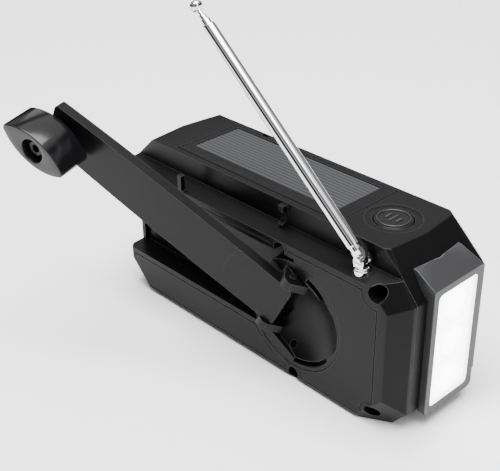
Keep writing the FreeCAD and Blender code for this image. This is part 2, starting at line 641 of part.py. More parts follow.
# ---------------------------------------------------------------- drive train
def gear_outline(teeth, module, phase):
    """Closed polygon of straight-flanked teeth; phase turns the first tooth from +X."""
    pitch_radius = teeth * module / 2
    points = []
    for tooth in range(teeth):
        middle = phase + 360 * tooth / teeth
        share = 360 / teeth
        for offset, radius in ((-0.34, -1.15), (-0.13, 0.85), (0.13, 0.85), (0.34, -1.15)):
            angle = math.radians(middle + offset * share)
            reach = pitch_radius + radius * module
            points.append(Vector(reach * math.cos(angle), 0, reach * math.sin(angle)))
    return Part.Face(Part.makePolygon(points + points[:1]))


def gear(teeth, module, phase, low, high, bore):
    """Spur gear blank along +Y between two levels, with a central bore."""
    wheel = gear_outline(teeth, module, phase).extrude(Vector(0, high - low, 0))
    wheel.translate(Vector(0, low, 0))
    return wheel.cut(Part.makeCylinder(bore, high - low + 2, Vector(0, low - 1, 0), Vector(0, 1, 0)))


def train_places():
    """Axes of the rotor, the step gear and the generator."""
    large, small = int(size("large_teeth")), int(size("small_teeth"))
    rotor = Vector(size("rotor_across"), 0, size("rotor_up"))
    first = size("drive_module") * (large + small) / 2 + size("mesh_gap")
    second = size("fast_module") * (large + small) / 2 + size("mesh_gap")
    turn = math.radians(size("fast_turn"))
    step = rotor + Vector(first, 0, 0)
    fast = step + Vector(second * math.cos(turn), 0, second * math.sin(turn))
    return rotor, step, fast


def drive_train():
    large, small = int(size("large_teeth")), int(size("small_teeth"))
    rotor, step, fast = train_places()
    turn = size("fast_turn")
    main = gear(large, size("drive_module"), 0, 8.0, 11.4, size("shaft_radius") - 0.0)
    holes = [Part.makeCylinder(2.6, 10, Vector(9.5 * math.cos(a), 5, 9.5 * math.sin(a)), Vector(0, 1, 0))
             for a in (math.radians(60 * k) for k in range(6))]
    feature = made("drive_gear", main.cut(holes))
    feature.Placement = Placement(rotor, Rotation())
    keep("drive_gear", feature)
    pinion = gear(small, size("drive_module"), 180 + 180 / small, 7.2, 11.6, 0.85)
    wheel = gear(large, size("fast_module"), turn, 4.0, 6.9, 0.85)
    collar = Part.makeCylinder(3.0, 0.6, Vector(0, 6.7, 0), Vector(0, 1, 0))
    collar = collar.cut(Part.makeCylinder(0.85, 5, Vector(0, 5, 0), Vector(0, 1, 0)))
    feature = made("step_gear", wheel.fuse([pinion, collar]).removeSplitter())
    feature.Placement = Placement(step, Rotation())
    keep("step_gear", feature)
    keep("step_gear_axle", rod("y", (str(step.x), str(step.z)), 0.8, 0.2, 12.4))
    rotor_gear = gear(small, size("fast_module"), turn + 180 + 180 / small, 3.6, 7.2, 0.74)
    feature = made("generator_pinion", rotor_gear)
    feature.Placement = Placement(fast, Rotation())
    keep("generator_pinion", feature)
    keep("generator_shaft", rod("y", (str(fast.x), str(fast.z)), 0.74, -9.6, 7.6))
    can = rod("y", (str(fast.x), str(fast.z)), 11.5, -10.5, 1.4)
    neck = rod("y", (str(fast.x), str(fast.z)), 3.2, 1.2, 2.6)
    bore = rod("y", (str(fast.x), str(fast.z)), "0.74 + running_gap", -9.8, 10)
    ribs = [rod("y", (str(fast.x + 9.2 * math.cos(a)), str(fast.z + 9.2 * math.sin(a))), 1.3, 0.9, 5)
            for a in (math.radians(45 + 90 * k) for k in range(4))]
    keep("generator", cut(fuse(can, neck), bore, *ribs))
    bridge = plate("bridge", "y", (-34, 16), (9.5, 46), -2.6, -0.9, 4)
    opening = rod("y", (str(fast.x), str(fast.z)), 11.7, -10, 10)
    seat = rod("y", ("rotor_across", "rotor_up"), "2.4 + running_gap", -10, 10)
    axle_boss = rod("y", (str(step.x), str(step.z)), 2.4, -1, 3.0)
    axle_hole = rod("y", (str(step.x), str(step.z)), 0.8, 0, 10)
    journal_boss = rod("y", ("rotor_across", "rotor_up"), 4.6, -1, 3.0)
    solid = fuse(bridge, axle_boss, journal_boss)
    keep("gear_bridge", cut(solid, opening, seat, axle_hole))
    posts = [(-16.0, 12.0, 12.8), (-31.5, 11.6, 12.8), (12.5, 43.0, 15.0)]
    keep("bridge_posts", doc_compound([rod("y", (across, up), 2.0, -0.9, end)
                                       for across, up, end in posts]))


# ---------------------------------------------------------------- antenna
def antenna_parts():
    pivot = Vector(size("mast_across"), size("mast_depth"), size("mast_pivot"))
    lean = Placement(pivot, Rotation(Vector(0, 1, 0), -size("mast_rise")))
    mount = turned("mount", "z", ("mast_across", "mast_depth"), [
        (53.2, 1.3), (53.2, 2.25), (59.2, 2.25), (59.2, 3.4), (62.0, 3.4), (62.3, 3.1), (62.3, 1.3)])
    keep("antenna_mount", mount)
    centre = ("mast_across", "mast_depth")
    post = turned("post", "z", centre, [(54.0, 0), (54.0, 1.25), (62.4, 1.25), (62.4, 3.1),
                                        (62.7, 3.1), (63.1, 2.7), (63.1, 0)])
    ears = []
    for low, high in (("mast_depth + 1.15", "mast_depth + 2.35"), ("mast_depth - 2.35",
                                                                   "mast_depth - 1.15")):
        ears += [rod("y", ("mast_across", "mast_pivot"), 2.3, low, high),
                 box(("mast_across - 2.1", "mast_across + 2.1"), (low, high), (62.9, "mast_pivot"))]
    hole = rod("y", ("mast_across", "mast_pivot"), 0.9, 10, 40)
    keep("antenna_swivel", cut(fuse(post, *ears), hole))
    head = rod("y", ("mast_across", "mast_pivot"), 1.75, "mast_depth + 2.35", "mast_depth + 3.15")
    slot = box(("mast_across - 2", "mast_across + 2"), ("mast_depth + 2.75", 40),
               ("mast_pivot - 0.25", "mast_pivot + 0.25"))
    shank = rod("y", ("mast_across", "mast_pivot"), 0.89, "mast_depth - 2.35", "mast_depth + 2.5")
    keep("antenna_screw", cut(fuse(head, shank), slot))
    tongue = fuse(rod("y", (0, 0), 2.0, -1.05, 1.05), box((0, 4.2), (-1.05, 1.05), (-2.1, 2.1)),
                  rod("x", (0, 0), 2.1, 3.6, 9.0))
    knuckle = cut(tongue, rod("y", (0, 0), "0.9 + running_gap", -5, 5))
    keep("antenna_knuckle", knuckle).Placement = lean
    tube = turned("tube", "x", ("0", "0"), [
        (5.4, 2.1), (5.4, 2.35), (5.9, 2.5), ("mast_end - 0.6", 2.5), ("mast_end", 2.3),
        ("mast_end", 1.92), (9.2, 1.92), (9.2, 2.1)])
    keep("antenna_tube", nested(tube, lean))
    stages = [("antenna_stage_2", 1.86, 1.46, 2.4), ("antenna_stage_3", 1.40, 1.04, 4.4),
              ("antenna_stage_4", 0.98, 0.0, 6.3)]
    for label, radius, bore, beyond in stages:
        start, finish = 10.0, size("mast_end") + beyond
        if bore:
            profile = [(start, bore), (start, radius), (finish - 0.4, radius), (finish, radius - 0.2),
                       (finish, bore)]
        else:
            profile = [(start, 0), (start, radius), (finish, radius), (finish, 0)]
        keep(label, nested(turned("stage", "x", ("0", "0"), profile), lean))
    end = size("mast_end") + 6.3
    tip = turned("tip", "x", ("0", "0"), [
        (end, 0), (end, 1.3), (end + 0.6, 1.9), (end + 1.4, 2.5), (end + 2.6, 2.6), (end + 3.6, 2.1),
        (end + 4.2, 1.2), (end + 4.4, 0)])
    keep("antenna_tip", nested(tip, lean))


def nested(body, lean):
    """A turned piece lined up with the leaning antenna."""
    body.setExpression("Placement.Base.y", None)
    body.setExpression("Placement.Base.z", None)
    body.Placement = lean.multiply(Placement(Vector(), TURNS["x"]))
    return body


# ---------------------------------------------------------------- electronics
def speaker_parts():
    centre = ("speaker_across", "speaker_up")
    keep("speaker_frame", turned("basket", "y", centre, [
        (-25.2, 16.2), (-25.2, 17.9), (-23.6, 17.9), (-20.2, 14.6), (-15.2, 9.4), (-15.2, 8.2),
        (-20.6, 13.8), (-23.8, 16.2)]))
    keep("speaker_magnet", turned("magnet", "y", centre, [(-15.1, 0), (-15.1, 9.4), (-8.6, 9.4),
                                                          (-8.6, 8.6), (-8.0, 8.0), (-8.0, 0)]))
    keep("speaker_cone", turned("cone", "y", centre, [
        (-17.4, 0), (-17.2, 2.6), (-16.2, 4.6), (-20.8, 12.6), (-24.2, 16.2), (-24.6, 16.2),
        (-21.6, 12.6), (-17.0, 4.9), (-18.0, 2.6), (-18.2, 0)]))
    disc = rod("y", centre, 20.4, "0.05 - half_depth", "1.15 - half_depth")
    slots = []
    for row in range(-4, 5):
        half = math.sqrt(16.4 ** 2 - (row * 3.6) ** 2)
        slots.append(plate("slot", "y", (f"speaker_across - {half:.3f}", f"speaker_across + {half:.3f}"),
                           (f"speaker_up + {row * 3.6 - 0.9:.3f}", f"speaker_up + {row * 3.6 + 0.9:.3f}"),
                           -40, 0, 0.8))
    keep("speaker_grille", cut(disc, *slots))


def dial_parts():
    keep("dial_window", plate("window", "y", (-61.4, -4.6), (36.6, 58.4), "0.1 - half_depth",
                              "1.2 - half_depth", 1.9))
    keep("dial_plate", plate("scale", "y", (-61, -5), (37.5, 55.2), -24.1, -23.3, 0.5))
    needle = box((-33.4, -32.6), (-24.9, -24.4), (34.5, 55.0))
    carriage = box((-35, -31), (-24.9, -21.5), (33.2, 36.0))
    keep("dial_pointer", fuse(needle, carriage))


def control_parts():
    tuning = ("control_depth", "tuning_up")
    volume = ("control_depth", "volume_up")
    for label, centre, rim in (("tuning_knob", tuning, 8.4), ("volume_knob", volume, 8.0)):
        body = turned("knob", "x", centre, [
            (69.6, 0), (69.6, 1.95), (71.6, 1.95), (71.6, 2.9), (77.0, 2.9), (77.0, rim - 0.4), (77.6, rim), (82.6, rim - 0.3),
            (83.4, rim - 1.3), (83.4, rim - 2.2), (82.7, rim - 3.2), (82.7, 0)])
        flutes = []
        for step in range(24):
            angle = math.radians(15 * step)
            across = f"{centre[0]} + {(rim + 0.35) * math.cos(angle):.4f}"
            up = f"{centre[1]} + {(rim + 0.35) * math.sin(angle):.4f}"
            flutes.append(rod("x", (across, up), 0.7, 77.8, 90))
        mark = box((82.2, 90), (f"{centre[0]} - 0.45", f"{centre[0]} + 0.45"),
                   (f"{centre[1]} + {rim - 3.9}", f"{centre[1]} + {rim}"))
        keep(label, cut(body, *flutes, mark))
    keep("tuning_capacitor", block_with_hole((58.5, 70.5), (-9, 5), (40.2, 53.2)))
    keep("volume_control", block_with_hole((60.5, 70.5), (-8, 4), (22.2, 34.8)))
    slider = fuse(box((-36, -30), ("-half_depth - 0.9", -25.0), (21.0, 25.0)),
                  box((-43, -23), (-24.9, -23.9), (18.6, 27.4)),
                  box((-34, -32), (-24.2, -21.4), (22.0, 24.0)))
    ridges = [box((where - 0.3, where + 0.3), (-60, "-half_depth - 0.4"), (0, 60))
              for where in (-35, -34, -33, -32, -31)]
    keep("band_switch", cut(slider, *ridges))
    keep("lamp_button", turned("press", "y", ("-63.5", "24"), [
        ("-half_depth - 1.4", 0), ("-half_depth - 1.2", 3.6), ("-half_depth - 0.8", 4.2),
        ("-half_depth + 0.2", 4.45), (-25.0, 4.45), (-25.0, 5.6), (-23.9, 5.6), (-23.9, 1.6),
        (-21.6, 1.6), (-21.6, 0)]))


def block_with_hole(x, y, z):
    """Small component body with a shallow round seat facing its knob."""
    middle_y, middle_z = (y[0] + y[1]) / 2, (z[0] + z[1]) / 2
    return cut(box(x, y, z), rod("x", (middle_y, middle_z), 2.0, x[1] - 1.0, x[1] + 1))


def inner_parts():
    board = plate("board", "y", (-68, -6), (12, 35.5), -16.0, -14.4, 1.5)
    keep("main_board", cut(board, *[rod("y", spot, 1.4, -30, 0) for spot in STANDOFFS]))
    chips = [box((-48, -38), (-14.4, -12.8), (18, 28)), box((-32, -25), (-14.4, -13.0), (24, 31)),
             box((-22, -16), (-14.4, -12.2), (14, 18)), box((-44, -36), (-14.4, -13.4), (30, 33))]
    cans = [rod("y", (-19, 24), 2.4, -14.4, -8.0), rod("y", (-50, 31.5), 2.0, -14.4, -9.0)]
    lamp_switch = fuse(box((-66.5, -60.5), (-19.6, -16.0), (21, 27)), rod("y", (-63.5, 24), 1.5, -20.6, -19.0))
    slide_switch = box((-40, -26), (-21.0, -16.0), (19.5, 26.5))
    keep("board_components", doc_compound(chips + cans + [lamp_switch, slide_switch]))
    keep("ferrite_rod", rod("x", (4.5, 58.4), 3.9, -11, 43))
    coil = cut(rod("x", (4.5, 58.4), 5.2, 2, 22), rod("x", (4.5, 58.4), 3.9, 0, 30))
    keep("aerial_coil", coil)
    keep("battery_cell", turned("cell", "x", ("-14.2", "12.2"), [
        (14.5, 0), (14.5, 6.6), (14.9, 7.0), (62.6, 7.0), (63.0, 6.6), (63.0, 2.6), (64.0, 2.6),
        (64.0, 0)]))
    tray = box((12.4, 66.2), (-22.4, -6.0), (2.0, 14.0))
    keep("battery_tray", cut(tray, box((13.2, 65.3), (-21.35, -7.05), (5.05, 20))))
    straps = [box((13.3, 14.5), (-19.5, -9), (6, 18)), box((64.0, 65.2), (-19.5, -9), (6, 18))]
    keep("battery_contacts", doc_compound(straps))
    port = cut(box((70.2, 77.4), (-4.5, 4.5), (9.9, 13.1)), box((72, 90), (-3.9, 3.9), (10.5, 12.5)))
    tongue = box((71.5, 76.2), (-3.0, 3.0), (11.2, 11.8))
    keep("charging_port", fuse(port, tongue))
    flap = plate("flap", "x", (-7.8, 7.8), (7.2, 15.8), 78.05, 79.0, 1.3)
    hinge_strip = box((78.05, 79.0), (-3, 3), (15.2, 15.8))
    keep("port_cover", fuse(flap, box((77.5, 78.3), (-3.7, 3.7), (10.6, 12.4)), hinge_strip))


def case_screws():
    """Cross-recess screws at the foot of each well."""
    solids = []
    for across, up in SCREWS:
        spot = (across, up)
        body = fuse(rod("y", spot, 2.2, 14.5, 16.1), rod("y", spot, 1.09, -1, 14.8))
        cross = [box((across - 1.3, across + 1.3), (15.3, 20), (up - 0.3, up + 0.3)),
                 box((across - 0.3, across + 0.3), (15.3, 20), (up - 1.3, up + 1.3))]
        solids.append(cut(body, *cross))
    keep("case_screws", doc_compound(solids))


rotor_place, arm_place = crank_places()
front_case()
rear_cover()
lamp_parts()
lid_parts()
button_parts()
crank_rotor(rotor_place)
parts["crank_hinge_pin"].Placement = Placement(arm_place.Base, rotor_place.Rotation)
crank_arm(arm_place)
crank_knob(arm_place)
drive_train()
antenna_parts()
speaker_parts()
dial_parts()
control_parts()
inner_parts()
case_screws()
doc.recompute()

faults = [item.Name for item in doc.Objects if "Invalid" in item.State or "Error" in item.State]
for label, item in parts.items():
    if item.Shape.isNull() or not item.Shape.isValid():
        faults.append(label)
if faults:
    raise RuntimeError(f"features that failed: {faults}")
os.makedirs("parts", exist_ok=True)
for label, item in parts.items():
    item.Shape.exportStep(f"parts/{label}.step")
    limits = item.Shape.BoundBox
    print(f"{label:20s} solids {len(item.Shape.Solids)} volume {item.Shape.Volume:10.1f} "
          f"x {limits.XMin:.1f} {limits.XMax:.1f} y {limits.YMin:.1f} {limits.YMax:.1f} "
          f"z {limits.ZMin:.1f} {limits.ZMax:.1f}")
print(f"{len(parts)} sub-parts written")
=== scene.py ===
import json
import logging
import math
from dataclasses import dataclass
from enum import Enum
from typing import Iterable, Optional, Sequence

import bmesh
import bpy
import numpy as np
from mathutils import Matrix, Vector


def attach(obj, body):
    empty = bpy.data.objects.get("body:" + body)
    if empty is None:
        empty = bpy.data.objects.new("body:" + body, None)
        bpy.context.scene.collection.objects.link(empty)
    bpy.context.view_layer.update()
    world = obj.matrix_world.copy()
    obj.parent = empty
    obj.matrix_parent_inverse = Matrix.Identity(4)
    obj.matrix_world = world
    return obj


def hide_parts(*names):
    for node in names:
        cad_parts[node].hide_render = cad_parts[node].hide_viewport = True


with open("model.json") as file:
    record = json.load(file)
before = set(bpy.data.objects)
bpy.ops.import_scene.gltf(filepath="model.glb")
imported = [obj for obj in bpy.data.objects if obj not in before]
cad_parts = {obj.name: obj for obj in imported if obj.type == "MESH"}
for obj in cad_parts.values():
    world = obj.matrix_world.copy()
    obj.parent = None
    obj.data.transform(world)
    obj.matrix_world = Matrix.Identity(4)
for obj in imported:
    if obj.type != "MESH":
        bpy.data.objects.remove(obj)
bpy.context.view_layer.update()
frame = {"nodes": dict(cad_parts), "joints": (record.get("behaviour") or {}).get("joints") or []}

LOG = logging.getLogger("radio")
MM = 0.001
TINY = 1e-9
DOUBLES = 2e-7  # metres: points closer than this become one
SHORTEST_EDGE = 1e-7  # metres: edges shorter than this go
CAP_RING = 0.45  # the ring inside a plate's cap, as a share of the cap
LONGEST_CUT = 0.45  # the most of a side that a rounded corner may take
NODES: dict[str, bpy.types.Object] = frame["nodes"]
JOINTS: dict[str, dict] = {joint["name"]: joint for joint in frame["joints"]}


class Glow(Enum):
    """How strongly a lit piece shines."""

    WINDOW = 7.0
    BOWL = 3.0
    EMITTER = 12.0


# ---------------------------------------------------------------- surfaces
@dataclass(frozen=True)
class Axes:
    """A local frame: an origin in millimetres and three unit directions."""

    origin: np.ndarray
    along: np.ndarray
    across: np.ndarray
    up: np.ndarray

    def place(self, points: np.ndarray) -> np.ndarray:
        """Carry local millimetres into the object's frame.

        Args:
            points: (..., 3) array of local (along, across, up) millimetres.

        Returns:
            (..., 3) array in metres.
        """
        basis = np.stack([self.along, self.across, self.up])
        return (np.asarray(points) @ basis + self.origin) * MM


def axes_from(origin: Sequence[float], along: Sequence[float], across: Sequence[float]) -> Axes:
    """Right-handed frame from an origin and two directions.

    Args:
        origin: origin in millimetres.
        along: first direction.
        across: second direction, made square to the first.

    Returns:
        The frame, its third direction being along x across.
    """
    first = np.array(along, float) / np.linalg.norm(along)
    second = np.array(across, float)
    second = second - first * (second @ first)
    second /= np.linalg.norm(second)
    return Axes(np.array(origin, float), first, second, np.cross(first, second))


def grid_faces(rows: int, columns: int, wrap_rows: bool, wrap_columns: bool) -> np.ndarray:
    """Quads of a grid whose point (i, j) has number i * columns + j.

    Args:
        rows: points along the first parameter.
        columns: points along the second parameter.
        wrap_rows: the last row joins the first.
        wrap_columns: the last column joins the first.

    Returns:
        (n, 4) array of point numbers.
    """
    i, j = np.meshgrid(np.arange(rows if wrap_rows else rows - 1),
                       np.arange(columns if wrap_columns else columns - 1), indexing="ij")
    i, j = i.ravel(), j.ravel()
    following_i, following_j = (i + 1) % rows, (j + 1) % columns
    return np.stack([i * columns + j, following_i * columns + j,
                     following_i * columns + following_j, i * columns + following_j], axis=1)


def lathe(profile: Sequence[Sequence[float]], axes: Axes, segments: int = 64) -> tuple:
    """Surface of revolution: point (i, t) = along_i + radius_i (cos t across + sin t up).

    Args:
        profile: (along, radius) pairs in millimetres, in order.
        axes: frame whose first direction is the axis.
        segments: steps round the axis.

    Returns:
        Vertices in metres and quads.
    """
    pairs = np.array(profile, float)
    turn = np.linspace(0.0, 2.0 * np.pi, segments, endpoint=False)
    local = np.stack([np.repeat(pairs[:, :1], segments, axis=1), pairs[:, 1:] * np.cos(turn),
                      pairs[:, 1:] * np.sin(turn)], axis=-1)
    return axes.place(local).reshape(-1, 3), grid_faces(len(pairs), segments, False, True)


def cut_back(corner: np.ndarray, towards: np.ndarray, radius: float) -> np.ndarray:
    """Point on a side, radius away from its corner, or at the longest cut of the side.

    Args:
        corner: where the side starts.
        towards: where the side ends.
        radius: wanted distance from the corner.

    Returns:
        The point, with as many coordinates as the corner.
    """
    side = towards - corner
    length = np.linalg.norm(side)
    return corner + side * (min(radius, LONGEST_CUT * length) / max(length, TINY))


def rounded(corners: Sequence[Sequence[float]], radius: float, steps: int = 5) -> np.ndarray:
    """Profile with each inner corner replaced by a quadratic arc that starts radius away.

    Args:
        corners: (a, b) pairs of an open profile.
        radius: how far from the corner its arc starts.
        steps: points on each arc.

    Returns:
        (n, 2) array of the smoothed profile.
    """
    spots = np.array(corners, float)
    share = np.linspace(0.0, 1.0, steps)[:, None]
    result = [spots[:1]]
    for before, corner, after in zip(spots[:-2], spots[1:-1], spots[2:]):
        start, finish = cut_back(corner, before, radius), cut_back(corner, after, radius)
        result.append((1 - share) ** 2 * start + 2 * share * (1 - share) * corner
                      + share ** 2 * finish)
    result.append(spots[-1:])
    return np.concatenate(result)


def resampled(loop: np.ndarray, count: int) -> np.ndarray:
    """Closed loop as points evenly spaced along its length.

    Args:
        loop: (n, 2) points of the closed loop.
        count: how many points to give it.

    Returns:
        (count, 2) array.
    """
    closed = np.concatenate([loop, loop[:1]])
    gaps = np.linalg.norm(np.diff(closed, axis=0), axis=1)
    reach = np.concatenate([[0.0], np.cumsum(gaps)])
    wanted = np.linspace(0.0, reach[-1], count, endpoint=False)
    return np.stack([np.interp(wanted, reach, closed[:, k]) for k in range(2)], axis=1)


def inset_loops(loop: np.ndarray, amounts: np.ndarray) -> np.ndarray:
    """Copies of a closed counter-clockwise loop moved inwards along its point normals.

    Args:
        loop: (n, 2) points.
        amounts: (k,) distances inwards.

    Returns:
        (k, n, 2) array.
    """
    tangent = np.roll(loop, -1, axis=0) - np.roll(loop, 1, axis=0)
    tangent /= np.linalg.norm(tangent, axis=1, keepdims=True)
    inward = np.stack([-tangent[:, 1], tangent[:, 0]], axis=1)
    return loop[None] + amounts[:, None, None] * inward[None]


@dataclass(frozen=True)
class Well:
    """Round well sunk from a plate's high face, in the plate's own millimetres."""

    along: float
    across: float
    radius: float
    floor: float
    rim: float
    foot_height: float = 0.1
    foot_share: float = 0.99
    rim_points: int = 5

    def section(self, high: float) -> tuple:
        """Wall from the rolled rim down to the middle of the floor.

        Args:
            high: level of the face that the well is sunk from.

        Returns:
            Radii and levels, in order.
        """
        bend = np.linspace(0.0, np.pi / 2, self.rim_points)
        radii = np.concatenate([self.radius + self.rim * (1 - np.sin(bend)),
                                [self.radius, self.radius * self.foot_share, 0.0]])
        levels = np.concatenate([high - self.rim * (1 - np.cos(bend)),
                                 [self.floor + self.foot_height, self.floor, self.floor]])
        return radii, levels


def pillow(loop: np.ndarray, low: float, high: float, edge: float, axes: Axes,
           well: Optional[Well] = None, rings: int = 6) -> tuple:
    """Plate between two levels with rolled edges: ring k sits edge (1 - cos a) in, at sin a.

    The caps are rings that shrink to the loop's middle, or to a round well that is sunk
    from the high face.

    Args:
        loop: (n, 2) outline in (along, across) millimetres, counter-clockwise.
        low: level of the lower face along the third direction.
        high: level of the upper face.
        edge: rolling radius of both rims.
        axes: frame that carries the plate.
        well: well in the high face, or None.
        rings: points round each rolled rim.

    Returns:
        Vertices in metres and quads.
    """
    count = len(loop)
    bend = np.linspace(0.0, np.pi / 2, rings)
    inward = edge * (1 - np.cos(bend))
    height = edge * (1 - np.sin(bend))
    loops = inset_loops(loop, np.concatenate([inward[::-1], inward]))
    middle = loop.mean(axis=0)
    lowest = middle + (loops[0] - middle) * np.array([0.0, CAP_RING])[:, None, None]
    stack = [lowest, loops]
    levels = [np.full(2, low), (low + height)[::-1], high - height]
    if well is None:
        stack.append(middle + (loops[-1] - middle) * np.array([CAP_RING, 0.0])[:, None, None])
        levels.append(np.full(2, high))
    else:
        turn = np.arctan2(loop[:, 1] - well.across, loop[:, 0] - well.along)
        circle = np.stack([np.cos(turn), np.sin(turn)], axis=1)
        centre = np.array([well.along, well.across])
        radii, depths = well.section(high)
        halfway = 0.5 * loops[-1] + 0.5 * (centre + circle * (well.radius + well.rim))
        stack += [halfway[None], centre + circle[None] * radii[:, None, None]]
        levels += [np.array([high]), depths]
    plan, level = np.concatenate(stack), np.concatenate(levels)
    local = np.concatenate([plan, np.repeat(level[:, None, None], count, axis=1)], axis=2)
    return axes.place(local).reshape(-1, 3), grid_faces(len(plan), count, False, True)


def merged(parts: Iterable[tuple]) -> tuple:
    """Several surfaces as one.

    Args:
        parts: (vertices, faces) pairs.

    Returns:
        All vertices, and all faces with their point numbers moved along.
    """
    points, faces, offset = [], [], 0
    for vertices, quads in parts:
        points.append(np.asarray(vertices))
        faces.append(np.asarray(quads) + offset)
        offset += len(vertices)
    return np.concatenate(points), np.concatenate(faces)


def shade(mesh: bpy.types.Mesh, angle: float, recalculate: bool) -> None:
    """Merge doubles, mark edges sharper than an angle and smooth the rest.

    Args:
        mesh: mesh to finish in place.
        angle: largest angle in degrees that shades as one surface.
        recalculate: turn every face outwards.
    """
    work = bmesh.new()
    work.from_mesh(mesh)
    bmesh.ops.remove_doubles(work, verts=work.verts, dist=DOUBLES)
    bmesh.ops.dissolve_degenerate(work, edges=work.edges, dist=SHORTEST_EDGE)
    if recalculate:
        bmesh.ops.recalc_face_normals(work, faces=work.faces)
    limit = math.radians(angle)
    for face in work.faces:
        face.smooth = True
    for edge in work.edges:
        edge.smooth = len(edge.link_faces) == 2 and edge.calc_face_angle(0.0) < limit
    work.to_mesh(mesh)
    work.free()


def add_piece(name: str, shape: tuple, body: str, material: bpy.types.Material,
              stands_for: Sequence[str] = (), angle: float = 35.0) -> bpy.types.Object:
    """Make an object of a computed surface and hang it on its body.

    Args:
        name: piece name.
        shape: vertices in metres and faces.
        body: body that it rides on.
        material: finish.
        stands_for: nodes that it replaces.
        angle: smoothing limit in degrees.

    Returns:
        The new object.
    """
    vertices, faces = shape
    mesh = bpy.data.meshes.new(name)
    mesh.from_pydata(vertices.tolist(), [], faces.tolist())
    shade(mesh, angle, True)
    return hang(name, mesh, body, material, stands_for)


def hang(name: str, mesh: bpy.types.Mesh, body: str, material: bpy.types.Material,
         stands_for: Sequence[str]) -> bpy.types.Object:
    """Link a finished mesh as a piece that rides on a body.

    Args:
        name: piece name.
        mesh: the piece's mesh.
        body: body that it rides on.
        material: finish.
        stands_for: nodes that it replaces.

    Returns:
        The new object.
    """
    piece = bpy.data.objects.new(name, mesh)
    bpy.context.scene.collection.objects.link(piece)
    mesh.materials.clear()
    mesh.materials.append(material)
    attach(piece, body)
    if stands_for:
        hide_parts(*stands_for)
    LOG.info("piece %s: %d faces", name, len(mesh.polygons))
    return piece


def skin(node: str, body: str, material: bpy.types.Material,
         angle: float = 28.0) -> bpy.types.Object:
    """Joined, smooth-shaded copy of a carried-over node, standing for it.

    Args:
        node: node to copy and replace.
        body: body that it rides on.
        material: finish.
        angle: smoothing limit in degrees.

    Returns:
        The new object.
    """
    mesh = NODES[node].data.copy()
    mesh.name = f"{node}_skin"
    if mesh.has_custom_normals:
        mesh.attributes.remove(mesh.attributes["custom_normal"])
    shade(mesh, angle, False)
    return hang(f"{node}_skin", mesh, body, material, (node,))


# ---------------------------------------------------------------- shader helpers
def arithmetic(nodes: bpy.types.Nodes, operation: str, first: Optional[float] = None,
               second: Optional[float] = None, clamp: bool = False) -> bpy.types.Node:
    """Math node with its constants in place.

    Args:
        nodes: tree to add to.
        operation: what the node works out.
        first: constant on the first socket, or None where it is linked.
        second: constant on the second socket, or None where it is linked.
        clamp: hold the result between 0 and 1.

    Returns:
        The new node.
    """
    node = nodes.new("ShaderNodeMath")
    node.operation = operation
    node.use_clamp = clamp
    for socket, value in zip(node.inputs, (first, second)):
        if value is not None:
            socket.default_value = value
    return node


def noise(nodes: bpy.types.Nodes, detail: float, scale: Optional[float] = None,
          distortion: float = 0.0) -> bpy.types.Node:
    """Noise texture.

    Args:
        nodes: tree to add to.
        detail: how many finer layers it has.
        scale: how fine it is, or None where that is linked.
        distortion: how far the pattern is pulled about.

    Returns:
        The new node.
    """
    node = nodes.new("ShaderNodeTexNoise")
    node.inputs["Detail"].default_value = detail
    node.inputs["Distortion"].default_value = distortion
    if scale is not None:
        node.inputs["Scale"].default_value = scale
    return node


def colour_mix(nodes: bpy.types.Nodes, label: str, colour: tuple[float, float, float]) -> bpy.types.Node:
    """Mix node for colours, one of which is a constant.

    Args:
        nodes: tree to add to.
        label: socket that holds the constant, A or B.
        colour: the constant.

    Returns:
        The new node.
    """
    node = nodes.new("ShaderNodeMix")
    node.data_type = "RGBA"
    node.inputs[label].default_value = (*colour, 1.0)
    return node


def set_ramp(ramp: bpy.types.Node, stops: Sequence[tuple]) -> None:
    """Give a colour ramp its stops.

    Args:
        ramp: colour ramp node.
        stops: (position, colour) pairs in order.
    """
    tones = ramp.color_ramp.elements
    while len(tones) < len(stops):
        tones.new(0.5)
    for tone, (position, colour) in zip(tones, stops):
        tone.position = position
        tone.color = (*colour, 1.0)


def place_group(nodes: bpy.types.Nodes, tree: bpy.types.NodeTree, **values: float) -> bpy.types.Node:
    """Shared group, placed with its own values.

    Args:
        nodes: tree to add to.
        tree: the group.
        values: value of each named input.

    Returns:
        The new node.
    """
    node = nodes.new("ShaderNodeGroup")
    node.node_tree = tree
    for label, value in values.items():
        node.inputs[label].default_value = value
    return node


